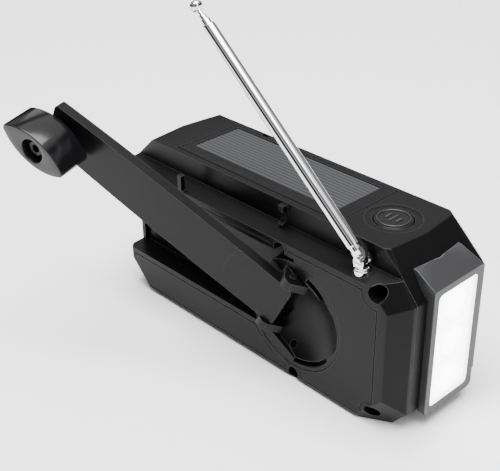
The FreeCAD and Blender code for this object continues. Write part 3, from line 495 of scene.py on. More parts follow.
# ---------------------------------------------------------------- finishes
class Effects:
    """Node groups that several finishes share, each built once."""

    COARSER = 0.45  # scale of the coarse grain beside the fine one's
    ROUNDING = 0.35 * MM  # how far an edge is rounded to find where it scuffs and where its highlight is painted
    BREAKS = (0.30, 0.62)  # noise levels between which the scuffs and the painted edge highlight come in

    def __init__(self) -> None:
        """Build every shared group."""
        self.grain = self._grain()
        # The edge mask lightens colour along edges: partly scuffs, partly a painted highlight.
        self.wear_and_highlight = self._wear_and_highlight()
        self.handling = self._handling()

    @staticmethod
    def _group(name: str, inputs: Sequence[tuple], outputs: Sequence[tuple]) -> tuple:
        """New group with typed sockets.

        Args:
            name: group name.
            inputs: (name, socket type, default) triples.
            outputs: (name, socket type) pairs.

        Returns:
            The group, its input node and its output node.
        """
        group = bpy.data.node_groups.new(name, "ShaderNodeTree")
        for label, kind, default in inputs:
            socket = group.interface.new_socket(label, in_out="INPUT", socket_type=kind)
            socket.default_value = default
        for label, kind in outputs:
            group.interface.new_socket(label, in_out="OUTPUT", socket_type=kind)
        return group, group.nodes.new("NodeGroupInput"), group.nodes.new("NodeGroupOutput")

    def _grain(self) -> bpy.types.NodeTree:
        """Spark-eroded grain: fine noise and a coarser one, as a height and a variation."""
        group, source, sink = self._group(
            "mould_grain",
            [("Scale", "NodeSocketFloat", 1800.0), ("Coarse", "NodeSocketFloat", 0.35)],
            [("Height", "NodeSocketFloat"), ("Variation", "NodeSocketFloat")])
        nodes, links = group.nodes, group.links
        place = nodes.new("ShaderNodeTexCoord")
        fine = noise(nodes, detail=3.0)
        wide = noise(nodes, detail=5.0, scale=45.0)
        coarse = nodes.new("ShaderNodeTexVoronoi")
        coarse.feature = "SMOOTH_F1"
        for texture in (fine, coarse, wide):
            links.new(place.outputs["Object"], texture.inputs["Vector"])
        ratio = arithmetic(nodes, "MULTIPLY", second=self.COARSER)
        mix = nodes.new("ShaderNodeMix")
        links.new(source.outputs["Scale"], fine.inputs["Scale"])
        links.new(source.outputs["Scale"], ratio.inputs[0])
        links.new(ratio.outputs[0], coarse.inputs["Scale"])
        links.new(source.outputs["Coarse"], mix.inputs["Factor"])
        links.new(fine.outputs["Fac"], mix.inputs["A"])
        links.new(coarse.outputs["Distance"], mix.inputs["B"])
        links.new(mix.outputs["Result"], sink.inputs["Height"])
        links.new(wide.outputs["Fac"], sink.inputs["Variation"])
        return group

    def _wear_and_highlight(self) -> bpy.types.NodeTree:
        """Edge mask for scuffs and a painted edge highlight: one less the dot of the true and the
        rounded normal, broken by noise.
        """
        group, source, sink = self._group(
            "edge_wear_and_highlight", [("Gain", "NodeSocketFloat", 3.0), ("Break", "NodeSocketFloat", 0.15)],
            [("Mask", "NodeSocketFloat"), ("Normal", "NodeSocketVector")])
        nodes, links = group.nodes, group.links
        surface = nodes.new("ShaderNodeNewGeometry")
        soft = nodes.new("ShaderNodeBevel")
        soft.samples = 4
        soft.inputs["Radius"].default_value = self.ROUNDING
        dot = nodes.new("ShaderNodeVectorMath")
        dot.operation = "DOT_PRODUCT"
        less = arithmetic(nodes, "SUBTRACT", first=1.0)
        place = nodes.new("ShaderNodeTexCoord")
        patches = noise(nodes, detail=4.0, scale=320.0)
        gate = nodes.new("ShaderNodeMapRange")
        gate.inputs["From Min"].default_value, gate.inputs["From Max"].default_value = self.BREAKS
        keep = nodes.new("ShaderNodeMix")
        keep.inputs["A"].default_value = 1.0
        gain = arithmetic(nodes, "MULTIPLY")
        final = arithmetic(nodes, "MULTIPLY", clamp=True)
        links.new(surface.outputs["True Normal"], dot.inputs[0])
        links.new(soft.outputs["Normal"], dot.inputs[1])
        links.new(dot.outputs["Value"], less.inputs[1])
        links.new(less.outputs[0], gain.inputs[0])
        links.new(source.outputs["Gain"], gain.inputs[1])
        links.new(place.outputs["Object"], patches.inputs["Vector"])
        links.new(patches.outputs["Fac"], gate.inputs["Value"])
        links.new(source.outputs["Break"], keep.inputs["Factor"])
        links.new(gate.outputs["Result"], keep.inputs["B"])
        links.new(gain.outputs[0], final.inputs[0])
        links.new(keep.outputs["Result"], final.inputs[1])
        links.new(final.outputs[0], sink.inputs["Mask"])
        links.new(soft.outputs["Normal"], sink.inputs["Normal"])
        return group

    def _handling(self) -> bpy.types.NodeTree:
        """Handling marks: soft smudges, centred on nought, as a roughness offset."""
        group, source, sink = self._group(
            "handling_marks", [("Amount", "NodeSocketFloat", 0.1)], [("Offset", "NodeSocketFloat")])
        nodes, links = group.nodes, group.links
        place = nodes.new("ShaderNodeTexCoord")
        smudge = noise(nodes, detail=6.0, scale=28.0, distortion=1.2)
        centred = arithmetic(nodes, "SUBTRACT", second=0.5)
        scaled = arithmetic(nodes, "MULTIPLY")
        links.new(place.outputs["Object"], smudge.inputs["Vector"])
        links.new(smudge.outputs["Fac"], centred.inputs[0])
        links.new(centred.outputs[0], scaled.inputs[0])
        links.new(source.outputs["Amount"], scaled.inputs[1])
        links.new(scaled.outputs[0], sink.inputs["Offset"])
        return group


@dataclass(frozen=True)
class Finish:
    """A moulded, painted or polished surface with grain, scuffs, a painted edge highlight and handling
    marks.

    Roughness varies by the handling group, colour lightens where the edge mask is high
    (partly scuffs, partly a painted edge highlight), and the grain's height drives a bump on
    top of the softened edge normal.
    """

    name: str
    colour: tuple[float, float, float]
    roughness: float
    # Edge colour and its gain: partly scuffed plastic, partly a painted highlight along the edges.
    worn_and_highlight_colour: tuple[float, float, float] = (0.05, 0.05, 0.052)
    wear_and_highlight_gain: float = 2.5
    mottle: float = 0.12
    metallic: float = 0.0
    grain_scale: float = 1800.0
    grain_height: float = 0.012
    coarse: float = 0.35
    marks: float = 0.10
    coat: float = 0.0
    specular: float = 0.5
    glow: float = 0.0
    alpha: float = 1.0
    transmission: float = 0.0
    soft_edges: bool = True
    coat_roughness: float = 0.06
    bump: float = 0.6

    def build(self, effects: Effects) -> bpy.types.Material:
        """Material with this finish.

        Args:
            effects: shared groups.

        Returns:
            The new material.
        """
        material = bpy.data.materials.new(self.name)
        material.use_nodes = True
        nodes, links = material.node_tree.nodes, material.node_tree.links
        shader = nodes["Principled BSDF"]
        shader.inputs["Metallic"].default_value = self.metallic
        shader.inputs["Coat Weight"].default_value = self.coat
        shader.inputs["Coat Roughness"].default_value = self.coat_roughness
        shader.inputs["Specular IOR Level"].default_value = self.specular
        shader.inputs["Alpha"].default_value = self.alpha
        shader.inputs["Transmission Weight"].default_value = self.transmission
        shader.inputs["Emission Strength"].default_value = self.glow
        shader.inputs["Emission Color"].default_value = (*self.colour, 1.0)
        grain = place_group(nodes, effects.grain, Scale=self.grain_scale, Coarse=self.coarse)
        # Edge mask: scuffs and a painted highlight along the edges.
        wear_and_highlight = place_group(nodes, effects.wear_and_highlight, Gain=self.wear_and_highlight_gain)
        marks = place_group(nodes, effects.handling, Amount=self.marks)
        self._colour(nodes, links, grain, wear_and_highlight, shader)
        rough = arithmetic(nodes, "ADD", first=self.roughness, clamp=True)
        links.new(marks.outputs["Offset"], rough.inputs[1])
        links.new(rough.outputs[0], shader.inputs["Roughness"])
        bump = nodes.new("ShaderNodeBump")
        bump.inputs["Strength"].default_value = self.bump
        bump.inputs["Distance"].default_value = self.grain_height * MM
        links.new(grain.outputs["Height"], bump.inputs["Height"])
        if self.soft_edges:
            links.new(wear_and_highlight.outputs["Normal"], bump.inputs["Normal"])
        links.new(bump.outputs["Normal"], shader.inputs["Normal"])
        self.decorate(nodes, links, shader)
        return material

    def _colour(self, nodes: bpy.types.Nodes, links: bpy.types.NodeLinks, grain: bpy.types.Node,
                wear_and_highlight: bpy.types.Node, shader: bpy.types.Node) -> None:
        """Base colour: mottled by the wide noise, then lightened along edges by scuffs and a painted
        highlight.

        Args:
            nodes: the material's nodes.
            links: the material's links.
            grain: its grain group.
            wear_and_highlight: its group for scuffs and a painted edge highlight.
            shader: its Principled BSDF.
        """
        shift = nodes.new("ShaderNodeMapRange")
        shift.inputs["To Min"].default_value = 1.0 - self.mottle
        shift.inputs["To Max"].default_value = 1.0 + self.mottle
        tint = colour_mix(nodes, "A", self.colour)
        tint.blend_type = "MULTIPLY"
        tint.inputs["Factor"].default_value = 1.0
        # Painted highlight along the edges, mixed with scuffs, lightens the base colour here.
        edge = colour_mix(nodes, "B", self.worn_and_highlight_colour)
        links.new(grain.outputs["Variation"], shift.inputs["Value"])
        links.new(shift.outputs["Result"], tint.inputs["B"])
        links.new(tint.outputs["Result"], edge.inputs["A"])
        links.new(wear_and_highlight.outputs["Mask"], edge.inputs["Factor"])
        links.new(edge.outputs["Result"], shader.inputs["Base Color"])

    def decorate(self, nodes: bpy.types.Nodes, links: bpy.types.NodeLinks,
                 shader: bpy.types.Node) -> None:
        """Extra pattern of a special finish; a plain finish has none.

        Args:
            nodes: the material's nodes.
            links: the material's links.
            shader: its Principled BSDF.
        """


@dataclass(frozen=True)
class SolarFinish(Finish):
    """Cell under glass: fine conductor lines along X, one every pitch across Y."""

    line_colour: tuple[float, float, float] = (0.050, 0.050, 0.052)
    pitch: float = 1.9
    line_start: float = -0.2

    def decorate(self, nodes: bpy.types.Nodes, links: bpy.types.NodeLinks,
                 shader: bpy.types.Node) -> None:
        """Lines that come in where a sine of y, one wave to the pitch, passes the line's start.

        Args:
            nodes: the material's nodes.
            links: the material's links.
            shader: its Principled BSDF.
        """
        place = nodes.new("ShaderNodeTexCoord")
        split = nodes.new("ShaderNodeSeparateXYZ")
        steps = arithmetic(nodes, "MULTIPLY", second=2.0 * math.pi / (self.pitch * MM))
        wave = arithmetic(nodes, "SINE")
        lift = nodes.new("ShaderNodeMapRange")
        lift.interpolation_type = "SMOOTHSTEP"
        lift.inputs["From Min"].default_value = self.line_start
        mix = colour_mix(nodes, "B", self.line_colour)
        before = shader.inputs["Base Color"].links[0].from_socket
        links.new(place.outputs["Object"], split.inputs["Vector"])
        links.new(split.outputs["Y"], steps.inputs[0])
        links.new(steps.outputs[0], wave.inputs[0])
        links.new(wave.outputs[0], lift.inputs["Value"])
        links.new(before, mix.inputs["A"])
        links.new(lift.outputs["Result"], mix.inputs["Factor"])
        links.new(mix.outputs["Result"], shader.inputs["Base Color"])


@dataclass(frozen=True)
class WindowFinish(Finish):
    """Lit window: brightest over each of three bowls, fainter on the ring between them.

    The first bowl's height, their pitch, their radius and the reach of the glow round each
    are in millimetres. A level is the share of full light at a share of the reach.
    """

    first: float = 16.1
    pitch: float = 16.2
    radius: float = 6.6
    reach: float = 10.0
    rim_level: float = 0.30
    inner_levels: tuple[tuple[float, float], ...] = ((0.0, 1.0), (0.55, 0.98))
    outer_levels: tuple[tuple[float, float], ...] = ((0.74, 0.75), (1.0, 0.62))
    coolness: float = 1.01

    def decorate(self, nodes: bpy.types.Nodes, links: bpy.types.NodeLinks,
                 shader: bpy.types.Node) -> None:
        """Emission colour falls off with distance to the nearest bowl centre along Z.

        Args:
            nodes: the material's nodes.
            links: the material's links.
            shader: its Principled BSDF.
        """
        place = nodes.new("ShaderNodeTexCoord")
        split = nodes.new("ShaderNodeSeparateXYZ")
        shift = arithmetic(nodes, "SUBTRACT", second=(self.first - self.pitch / 2) * MM)
        wrap = arithmetic(nodes, "FLOORED_MODULO", second=self.pitch * MM)
        centred = arithmetic(nodes, "SUBTRACT", second=self.pitch / 2 * MM)
        spot = nodes.new("ShaderNodeCombineXYZ")
        distance = nodes.new("ShaderNodeVectorMath")
        distance.operation = "LENGTH"
        scaled = arithmetic(nodes, "MULTIPLY", second=1.0 / (self.reach * MM))
        ramp = nodes.new("ShaderNodeValToRGB")
        levels = (*self.inner_levels, (self.radius / self.reach, self.rim_level), *self.outer_levels)
        set_ramp(ramp, [(share, (level, level, level * self.coolness)) for share, level in levels])
        links.new(place.outputs["Object"], split.inputs["Vector"])
        links.new(split.outputs["Z"], shift.inputs[0])
        links.new(shift.outputs[0], wrap.inputs[0])
        links.new(wrap.outputs[0], centred.inputs[0])
        links.new(split.outputs["Y"], spot.inputs["Y"])
        links.new(centred.outputs[0], spot.inputs["Z"])
        links.new(spot.outputs["Vector"], distance.inputs[0])
        links.new(distance.outputs["Value"], scaled.inputs[0])
        links.new(scaled.outputs[0], ramp.inputs["Fac"])
        links.new(ramp.outputs["Color"], shader.inputs["Emission Color"])


class Palette:
    """Every finish of the radio, built once and looked up by name."""

    # Each finish's edge colour is partly scuffs, partly a painted highlight along its edges.
    FINISHES: tuple[Finish, ...] = (
        Finish("case_black", (0.0022, 0.0022, 0.0024), 0.35, grain_scale=2200.0, grain_height=0.008,
               worn_and_highlight_colour=(0.075, 0.075, 0.079), wear_and_highlight_gain=5.0, marks=0.08, specular=0.12),
        # Hood: a lighter black than the case's, a painted glow of the lamp's light on the hood.
        Finish("hood_black_painted_lamp_light", (0.019, 0.019, 0.020), 0.34, worn_and_highlight_colour=(0.13, 0.13, 0.134), wear_and_highlight_gain=5.0,
               specular=0.30),
        Finish("crank_black", (0.0022, 0.0022, 0.0024), 0.33, worn_and_highlight_colour=(0.075, 0.075, 0.08),
               wear_and_highlight_gain=5.0, grain_scale=2600.0, grain_height=0.006, specular=0.12),
        Finish("screw_black", (0.012, 0.012, 0.013), 0.30, worn_and_highlight_colour=(0.09, 0.09, 0.092), metallic=0.7,
               grain_scale=1500.0, grain_height=0.003),
        Finish("knob_gloss", (0.004, 0.004, 0.0045), 0.15, worn_and_highlight_colour=(0.06, 0.06, 0.062), wear_and_highlight_gain=3.0,
               grain_scale=900.0, grain_height=0.0012, marks=0.04, coat=0.05, specular=0.32),
        Finish("button_dark", (0.0030, 0.0030, 0.0033), 0.40, worn_and_highlight_colour=(0.05, 0.05, 0.052), wear_and_highlight_gain=3.0,
               grain_scale=2400.0, grain_height=0.006, specular=0.2),
        Finish("antenna_chrome", (0.80, 0.80, 0.82), 0.07, worn_and_highlight_colour=(0.86, 0.86, 0.88), wear_and_highlight_gain=0.6,
               metallic=1.0, mottle=0.03, grain_scale=500.0, grain_height=0.0004, marks=0.03,
               soft_edges=False),
        Finish("plated_steel", (0.45, 0.45, 0.47), 0.30, worn_and_highlight_colour=(0.65, 0.65, 0.67), metallic=1.0,
               mottle=0.08, grain_scale=1500.0, grain_height=0.003, marks=0.12),
        WindowFinish("lamp_window", (0.93, 0.94, 0.96), 0.12, worn_and_highlight_colour=(0.98, 0.98, 0.99), wear_and_highlight_gain=0.5,
               mottle=0.02, grain_scale=300.0, grain_height=0.001, alpha=0.42, marks=0.03,
               glow=Glow.WINDOW.value),
        Finish("reflector_silver", (0.86, 0.87, 0.90), 0.22, worn_and_highlight_colour=(0.95, 0.95, 0.96), metallic=0.35,
               mottle=0.03, grain_scale=400.0, grain_height=0.001, marks=0.05, glow=Glow.BOWL.value),
        Finish("led_resin", (0.98, 0.95, 0.80), 0.10, worn_and_highlight_colour=(1.0, 1.0, 0.95), mottle=0.03,
               glow=Glow.EMITTER.value),
        SolarFinish("solar_cell", (0.022, 0.0225, 0.024), 0.42, worn_and_highlight_colour=(0.05, 0.05, 0.052), mottle=0.10,
                    grain_scale=500.0, grain_height=0.001, marks=0.04, specular=0.12),
        Finish("diffuser", (0.80, 0.80, 0.76), 0.45, worn_and_highlight_colour=(0.9, 0.9, 0.88), mottle=0.04),
        Finish("well_black", (0.004, 0.004, 0.004), 0.55),
        Finish("board_green", (0.02, 0.12, 0.05), 0.35, worn_and_highlight_colour=(0.10, 0.20, 0.12), mottle=0.25),
        Finish("component_grey", (0.05, 0.05, 0.055), 0.45, worn_and_highlight_colour=(0.12, 0.12, 0.12)),
        Finish("gear_nylon", (0.72, 0.72, 0.67), 0.48, worn_and_highlight_colour=(0.85, 0.85, 0.82), mottle=0.05),
        Finish("cell_blue", (0.04, 0.14, 0.32), 0.30, worn_and_highlight_colour=(0.10, 0.22, 0.42), mottle=0.06),
        Finish("contact_brass", (0.75, 0.56, 0.28), 0.28, worn_and_highlight_colour=(0.9, 0.75, 0.4), metallic=1.0),
        Finish("ferrite", (0.05, 0.05, 0.055), 0.65, worn_and_highlight_colour=(0.15, 0.15, 0.15), grain_height=0.03),
        Finish("cone_paper", (0.06, 0.06, 0.065), 0.85, worn_and_highlight_colour=(0.12, 0.12, 0.12), grain_height=0.06,
               grain_scale=1200.0),
        Finish("copper_wire", (0.60, 0.26, 0.12), 0.30, worn_and_highlight_colour=(0.8, 0.4, 0.2), metallic=1.0),
        Finish("dial_card", (0.70, 0.70, 0.67), 0.50, worn_and_highlight_colour=(0.8, 0.8, 0.78), mottle=0.03),
        Finish("needle_red", (0.60, 0.04, 0.03), 0.35, worn_and_highlight_colour=(0.8, 0.2, 0.15)),
        Finish("dial_window", (0.80, 0.82, 0.84), 0.05, worn_and_highlight_colour=(0.9, 0.9, 0.92), mottle=0.02,
               grain_scale=300.0, grain_height=0.001, alpha=0.22),
        Finish("cover_rubber", (0.014, 0.014, 0.015), 0.60, worn_and_highlight_colour=(0.03, 0.03, 0.031),
               grain_height=0.02),
        Finish("mark_grey", (0.008, 0.008, 0.009), 0.34, worn_and_highlight_colour=(0.09, 0.09, 0.092), mottle=0.05),
    )

    def __init__(self, effects: Effects) -> None:
        """Build every finish."""
        self._built = {finish.name: finish.build(effects) for finish in self.FINISHES}

    def __getitem__(self, name: str) -> bpy.types.Material:
        """Material of a finish."""
        return self._built[name]


def dress(palette: Palette, finish: str, *nodes: str) -> None:
    """Put a finish on carried-over nodes.

    Args:
        palette: every finish.
        finish: name of the finish.
        nodes: names of the nodes.
    """
    for node in nodes:
        mesh = NODES[node].data
        if not mesh.materials:
            mesh.materials.append(palette[finish])
        for index in range(len(mesh.materials)):
            NODES[node].material_slots[index].material = palette[finish]


# ---------------------------------------------------------------- sub-assemblies
@dataclass
class Casework:
    """Front case, rear cover and their screws."""

    palette: Palette

    def build(self) -> None:
        """Dress the two shells and the screws in their wells."""
        for node in ("front_case", "rear_cover"):
            skin(node, "case", self.palette["case_black"])
        skin("case_screws", "case", self.palette["well_black"])


@dataclass
class Lamp:
    """Hood, window, three reflector bowls and their LEDs."""

    palette: Palette

    def build(self) -> None:
        """Dress the lamp from the outside in."""
        # The hood's lighter black is a painted glow of the lamp's light.
        skin("lamp_hood", "case", self.palette["hood_black_painted_lamp_light"])
        skin("lamp_lens", "case", self.palette["lamp_window"])
        skin("lamp_reflector", "case", self.palette["reflector_silver"])
        skin("lamp_leds", "case", self.palette["led_resin"])
        dress(self.palette, "board_green", "lamp_board")


@dataclass
class TopDeck:
    """Solar lid, reading strip under it, and the alarm button with its raised marks."""

    palette: Palette
    button_centre: tuple[float, float] = (-50.0, 0.0)
    ring_radius: float = 6.1
    ring_half: float = 0.36
    ring_rise: float = 0.30
    ring_sunk: float = 0.08
    ring_root: float = -0.20
    ring_segments: int = 96
    bars: tuple[tuple[float, float], ...] = ((-2.5, 3.6), (0.0, 5.4), (2.5, 3.6))
    bar_half: float = 0.55
    bar_levels: tuple[float, float] = (-0.15, 0.26)
    bar_edge: float = 0.16
    bar_points: int = 48

    def ring(self, top: float) -> tuple:
        """Raised ring: a half-round section with its root under the cap, carried round.

        Args:
            top: level of the cap's face in millimetres.

        Returns:
            Vertices in metres and quads.
        """
        axes = axes_from((*self.button_centre, top), (0.0, 0.0, 1.0), (1.0, 0.0, 0.0))
        radius, half = self.ring_radius, self.ring_half
        turn = np.linspace(0.0, np.pi, 9)
        wall = np.stack([self.ring_rise * np.sin(turn) - self.ring_sunk,
                         radius - half * np.cos(turn)], axis=1)
        root = [(self.ring_root, radius + half), (self.ring_root, radius - half)]
        section = np.concatenate([wall, root])
        vertices, _ = lathe(section, axes, self.ring_segments)
        return vertices, grid_faces(len(section), self.ring_segments, True, True)

    def bar(self, offset: float, length: float, top: float) -> tuple:
        """Raised bar: a capsule outline with rolled edges.

        Args:
            offset: how far along X the bar stands from the button's middle.
            length: length of the bar along Y.
            top: level of the cap's face in millimetres.

        Returns:
            Vertices in metres and quads.
        """
        axes = axes_from((*self.button_centre, top), (1.0, 0.0, 0.0), (0.0, 1.0, 0.0))
        half = self.bar_half
        turn = np.linspace(-np.pi / 2, np.pi / 2, 14)
        cap = np.stack([half * np.sin(turn), length / 2 - half + half * np.cos(turn)], axis=1)
        loop = np.concatenate([cap[::-1], -cap[::-1]]) + np.array([offset, 0.0])
        low, high = self.bar_levels
        return pillow(resampled(loop, self.bar_points), low, high, self.bar_edge, axes)

    def marks(self, top: float) -> tuple:
        """The ring and the bars as one surface, on a cap whose face is at this level."""
        return merged([self.ring(top)] + [self.bar(*sizes, top) for sizes in self.bars])

    def build(self) -> None:
        """Dress the lid and cell, then make the button and its raised marks."""
        skin("solar_lid", "lid", self.palette["case_black"])
        dress(self.palette, "solar_cell", "solar_cell")
        dress(self.palette, "diffuser", "reading_lamp")
        dress(self.palette, "plated_steel", "lid_hinge_pin")
        skin("alarm_button", "alarm_button", self.palette["button_dark"])
        top = NODES["alarm_button"].bound_box[1][2] / MM
        add_piece("alarm_button_marks", self.marks(top), "alarm_button",
                  self.palette["mark_grey"])
        dress(self.palette, "board_green", "alarm_switch_board")


@dataclass
class Crank:
    """Rotor, folding arm, spinning knob and the screw that holds it."""

    palette: Palette
    knob_along: float = 109.0
    knob_half: float = 16.2
    knob_belly: float = 7.2
    knob_point: float = 0.9
    knob_turn: float = 3.0
    knob_low: float = 3.8
    knob_high: float = 19.2
    knob_edge: float = 0.45
    arc_points: int = 70
    outline_points: int = 220
    well_radius: float = 5.1
    well_depth: float = 5.6
    well_rim: float = 0.4

    def axes(self) -> Axes:
        """Frame of the arm: along it, across it, and out of its outer face."""
        hinge = JOINTS["crank_fold"]
        normal = np.array(JOINTS["knob_spin"]["axis"], float)
        pin = np.array(hinge["axis"], float)
        return axes_from(np.array(hinge["pos_m"]) / MM, np.cross(normal, pin), -pin)

    def knob_outline(self) -> np.ndarray:
        """Two equal arcs that would meet in points, each cut short of its point."""
        half, belly = self.knob_half, self.knob_belly
        radius = (half ** 2 + belly ** 2) / (2 * belly)
        reach = math.asin((half - self.knob_point) / radius)
        turn = np.linspace(-reach, reach, self.arc_points)
        depth = radius * np.cos(turn) - (radius - belly)
        lower = np.stack([radius * np.sin(turn), -depth], axis=1)
        loop = np.concatenate([lower, -lower])
        swing = math.radians(-self.knob_turn)
        turned = loop @ np.array([[math.cos(swing), math.sin(swing)],
                                  [-math.sin(swing), math.cos(swing)]])
        return resampled(turned + np.array([self.knob_along, 0.0]), self.outline_points)

    def build(self) -> None:
        """Make the crank from the wheel outwards."""
        skin("crank_rotor", "crank_wheel", self.palette["crank_black"])
        skin("crank_arm", "crank_arm", self.palette["crank_black"])
        axes = self.axes()
        well = Well(self.knob_along, 0.0, self.well_radius, self.knob_high - self.well_depth,
                    self.well_rim)
        knob = pillow(self.knob_outline(), self.knob_low, self.knob_high, self.knob_edge, axes, well)
        add_piece("crank_knob_grip", knob, "crank_knob", self.palette["knob_gloss"],
                  ("crank_knob",), 40.0)
        skin("knob_screw", "crank_arm", self.palette["screw_black"])
        dress(self.palette, "screw_black", "crank_hinge_pin")
        dress(self.palette, "gear_nylon", "drive_gear", "step_gear", "generator_pinion")
        dress(self.palette, "plated_steel", "step_gear_axle", "generator_shaft", "generator",
              "gear_bridge", "bridge_posts")


@dataclass(frozen=True)
class InnerTube:
    """One inner tube of the antenna, and how far past the outer tube it stands at rest."""

    number: int
    radius: float
    bore: float
    beyond: float


@dataclass
class Antenna:
    """Swivelling, tilting telescopic antenna. A bevel is its (length, depth)."""

    palette: Palette
    seam: float = 9.2
    tube_start: float = 5.4
    tube_end: float = 101.5
    tube_radius: float = 2.5
    tube_bore: float = 1.92
    start_bevel: tuple[float, float] = (0.5, 0.20)
    end_bevel: tuple[float, float] = (0.7, 0.22)
    inner_start: float = 10.0
    inner_bevel: tuple[float, float] = (0.4, 0.2)
    inner_tubes: tuple[InnerTube, ...] = (InnerTube(2, 1.86, 1.46, 2.4), InnerTube(3, 1.40, 1.04, 4.4))
    rod_radius: float = 0.98
    rod_beyond: float = 6.3
    ball_middle: float = 2.2
    ball_half: float = 2.15
    ball_radius: float = 2.6
    ball_hidden: int = 4
    neck_radius: float = 1.25
    neck_length: float = 0.35

    def axes(self) -> Axes:
        """Frame along the leaning antenna, from its tilt axis."""
        pull = JOINTS["antenna_pull_2"]
        tilt = np.array(JOINTS["antenna_tilt"]["pos_m"]) / MM
        return axes_from(tilt, pull["axis"], (0.0, 1.0, 0.0))

    def outer_profile(self) -> list[tuple[float, float]]:
        """Closed wall of the outer tube, from the seam in its bore round to the seam."""
        start, end, radius, bore = self.tube_start, self.tube_end, self.tube_radius, self.tube_bore
        return [(self.seam, bore), (start, bore), (start, radius - self.start_bevel[1]),
                (start + self.start_bevel[0], radius), (end - self.end_bevel[0], radius),
                (end, radius - self.end_bevel[1]), (end, bore), (self.seam, bore)]

    def inner_profile(self, tube: InnerTube) -> list[tuple[float, float]]:
        """Closed wall of an inner tube, bevelled at its far end."""
        start, end = self.inner_start, self.tube_end + tube.beyond
        length, depth = self.inner_bevel
        return [(start, tube.bore), (start, tube.radius), (end - length, tube.radius),
                (end, tube.radius - depth), (end, tube.bore), (start, tube.bore)]

    def ball_profile(self, foot: float) -> np.ndarray:
        """Ellipse round the ball's middle, on a straight neck that starts at the foot."""
        turn = np.linspace(0.0, np.pi, 22)
        ball = np.stack([foot + self.ball_middle - self.ball_half * np.cos(turn),
                         self.ball_radius * np.sin(turn)], axis=1)
        neck = [(foot, 0.0), (foot, self.neck_radius), (foot + self.neck_length, self.neck_radius)]
        return np.concatenate([neck, ball[self.ball_hidden:]])

    def build(self) -> None:
        """Make the mount, fork, knuckle, four tubes and the tip."""
        chrome = self.palette["antenna_chrome"]
        for node, body in (("antenna_mount", "case"), ("antenna_swivel", "antenna_swivel"),
                           ("antenna_screw", "antenna_swivel"), ("antenna_knuckle", "antenna_mast")):
            skin(node, body, chrome)
        axes = self.axes()
        add_piece("antenna_tube_shell", lathe(rounded(self.outer_profile(), 0.12), axes, 72),
                  "antenna_mast", chrome, ("antenna_tube",), 30.0)
        for tube in self.inner_tubes:
            stage = f"antenna_stage_{tube.number}"
            add_piece(f"{stage}_tube", lathe(rounded(self.inner_profile(tube), 0.08), axes, 56),
                      stage, chrome, (stage,), 30.0)
        far = self.tube_end + self.rod_beyond
        core = [(self.inner_start, 0.0), (self.inner_start, self.rod_radius), (far, self.rod_radius),
                (far, 0.0)]
        add_piece("antenna_stage_4_rod", lathe(core, axes, 40), "antenna_stage_4", chrome,
                  ("antenna_stage_4",), 30.0)
        add_piece("antenna_tip_ball", lathe(self.ball_profile(far), axes, 48), "antenna_stage_4",
                  chrome, ("antenna_tip",), 50.0)


@dataclass
class FrontPanel:
    """Speaker, dial, knobs and switches, out of sight from behind."""

    palette: Palette

    def build(self) -> None:
        """Dress the front and the knob end."""
        for node, slot, finish in (("speaker_grille", "case_plastic", "case_black"),
                                   ("dial_window", "lens_plastic", "dial_window")):
            skin(node, "case", self.palette[finish])
        for node in ("tuning_knob", "volume_knob"):
            skin(node, node, self.palette["crank_black"])
        skin("band_switch", "band_switch", self.palette["crank_black"])
        skin("lamp_button", "lamp_button", self.palette["button_dark"])
        skin("port_cover", "port_cover", self.palette["cover_rubber"])
        dress(self.palette, "plated_steel", "speaker_frame", "charging_port")
        dress(self.palette, "ferrite", "speaker_magnet", "ferrite_rod")
        dress(self.palette, "cone_paper", "speaker_cone")
        dress(self.palette, "dial_card", "dial_plate")
        dress(self.palette, "needle_red", "dial_pointer")
        dress(self.palette, "component_grey", "tuning_capacitor", "volume_control",
              "board_components")
        dress(self.palette, "board_green", "main_board")
        dress(self.palette, "copper_wire", "aerial_coil")
        dress(self.palette, "case_black", "battery_tray")
        dress(self.palette, "cell_blue", "battery_cell")
        dress(self.palette, "contact_brass", "battery_contacts")


# ---------------------------------------------------------------- studio
@dataclass(frozen=True)
class SoftLight:
    """Rectangular soft light: where it stands, what it is turned to, its sides and watts."""

    name: str
    position: tuple[float, float, float]
    aim: tuple[float, float, float]
    width: float
    height: float
    power: float

    def build(self) -> None:
        """Put the light in the scene, turned towards its aim."""
        lamp = bpy.data.lights.new(self.name, "AREA")
        lamp.shape = "RECTANGLE"
        lamp.size, lamp.size_y, lamp.energy = self.width, self.height, self.power
        holder = bpy.data.objects.new(self.name, lamp)
        away = Vector(self.position) - Vector(self.aim)
        holder.matrix_world = (Matrix.Translation(self.position)
                               @ away.to_track_quat("Z", "Y").to_matrix().to_4x4())
        bpy.context.scene.collection.objects.link(holder)


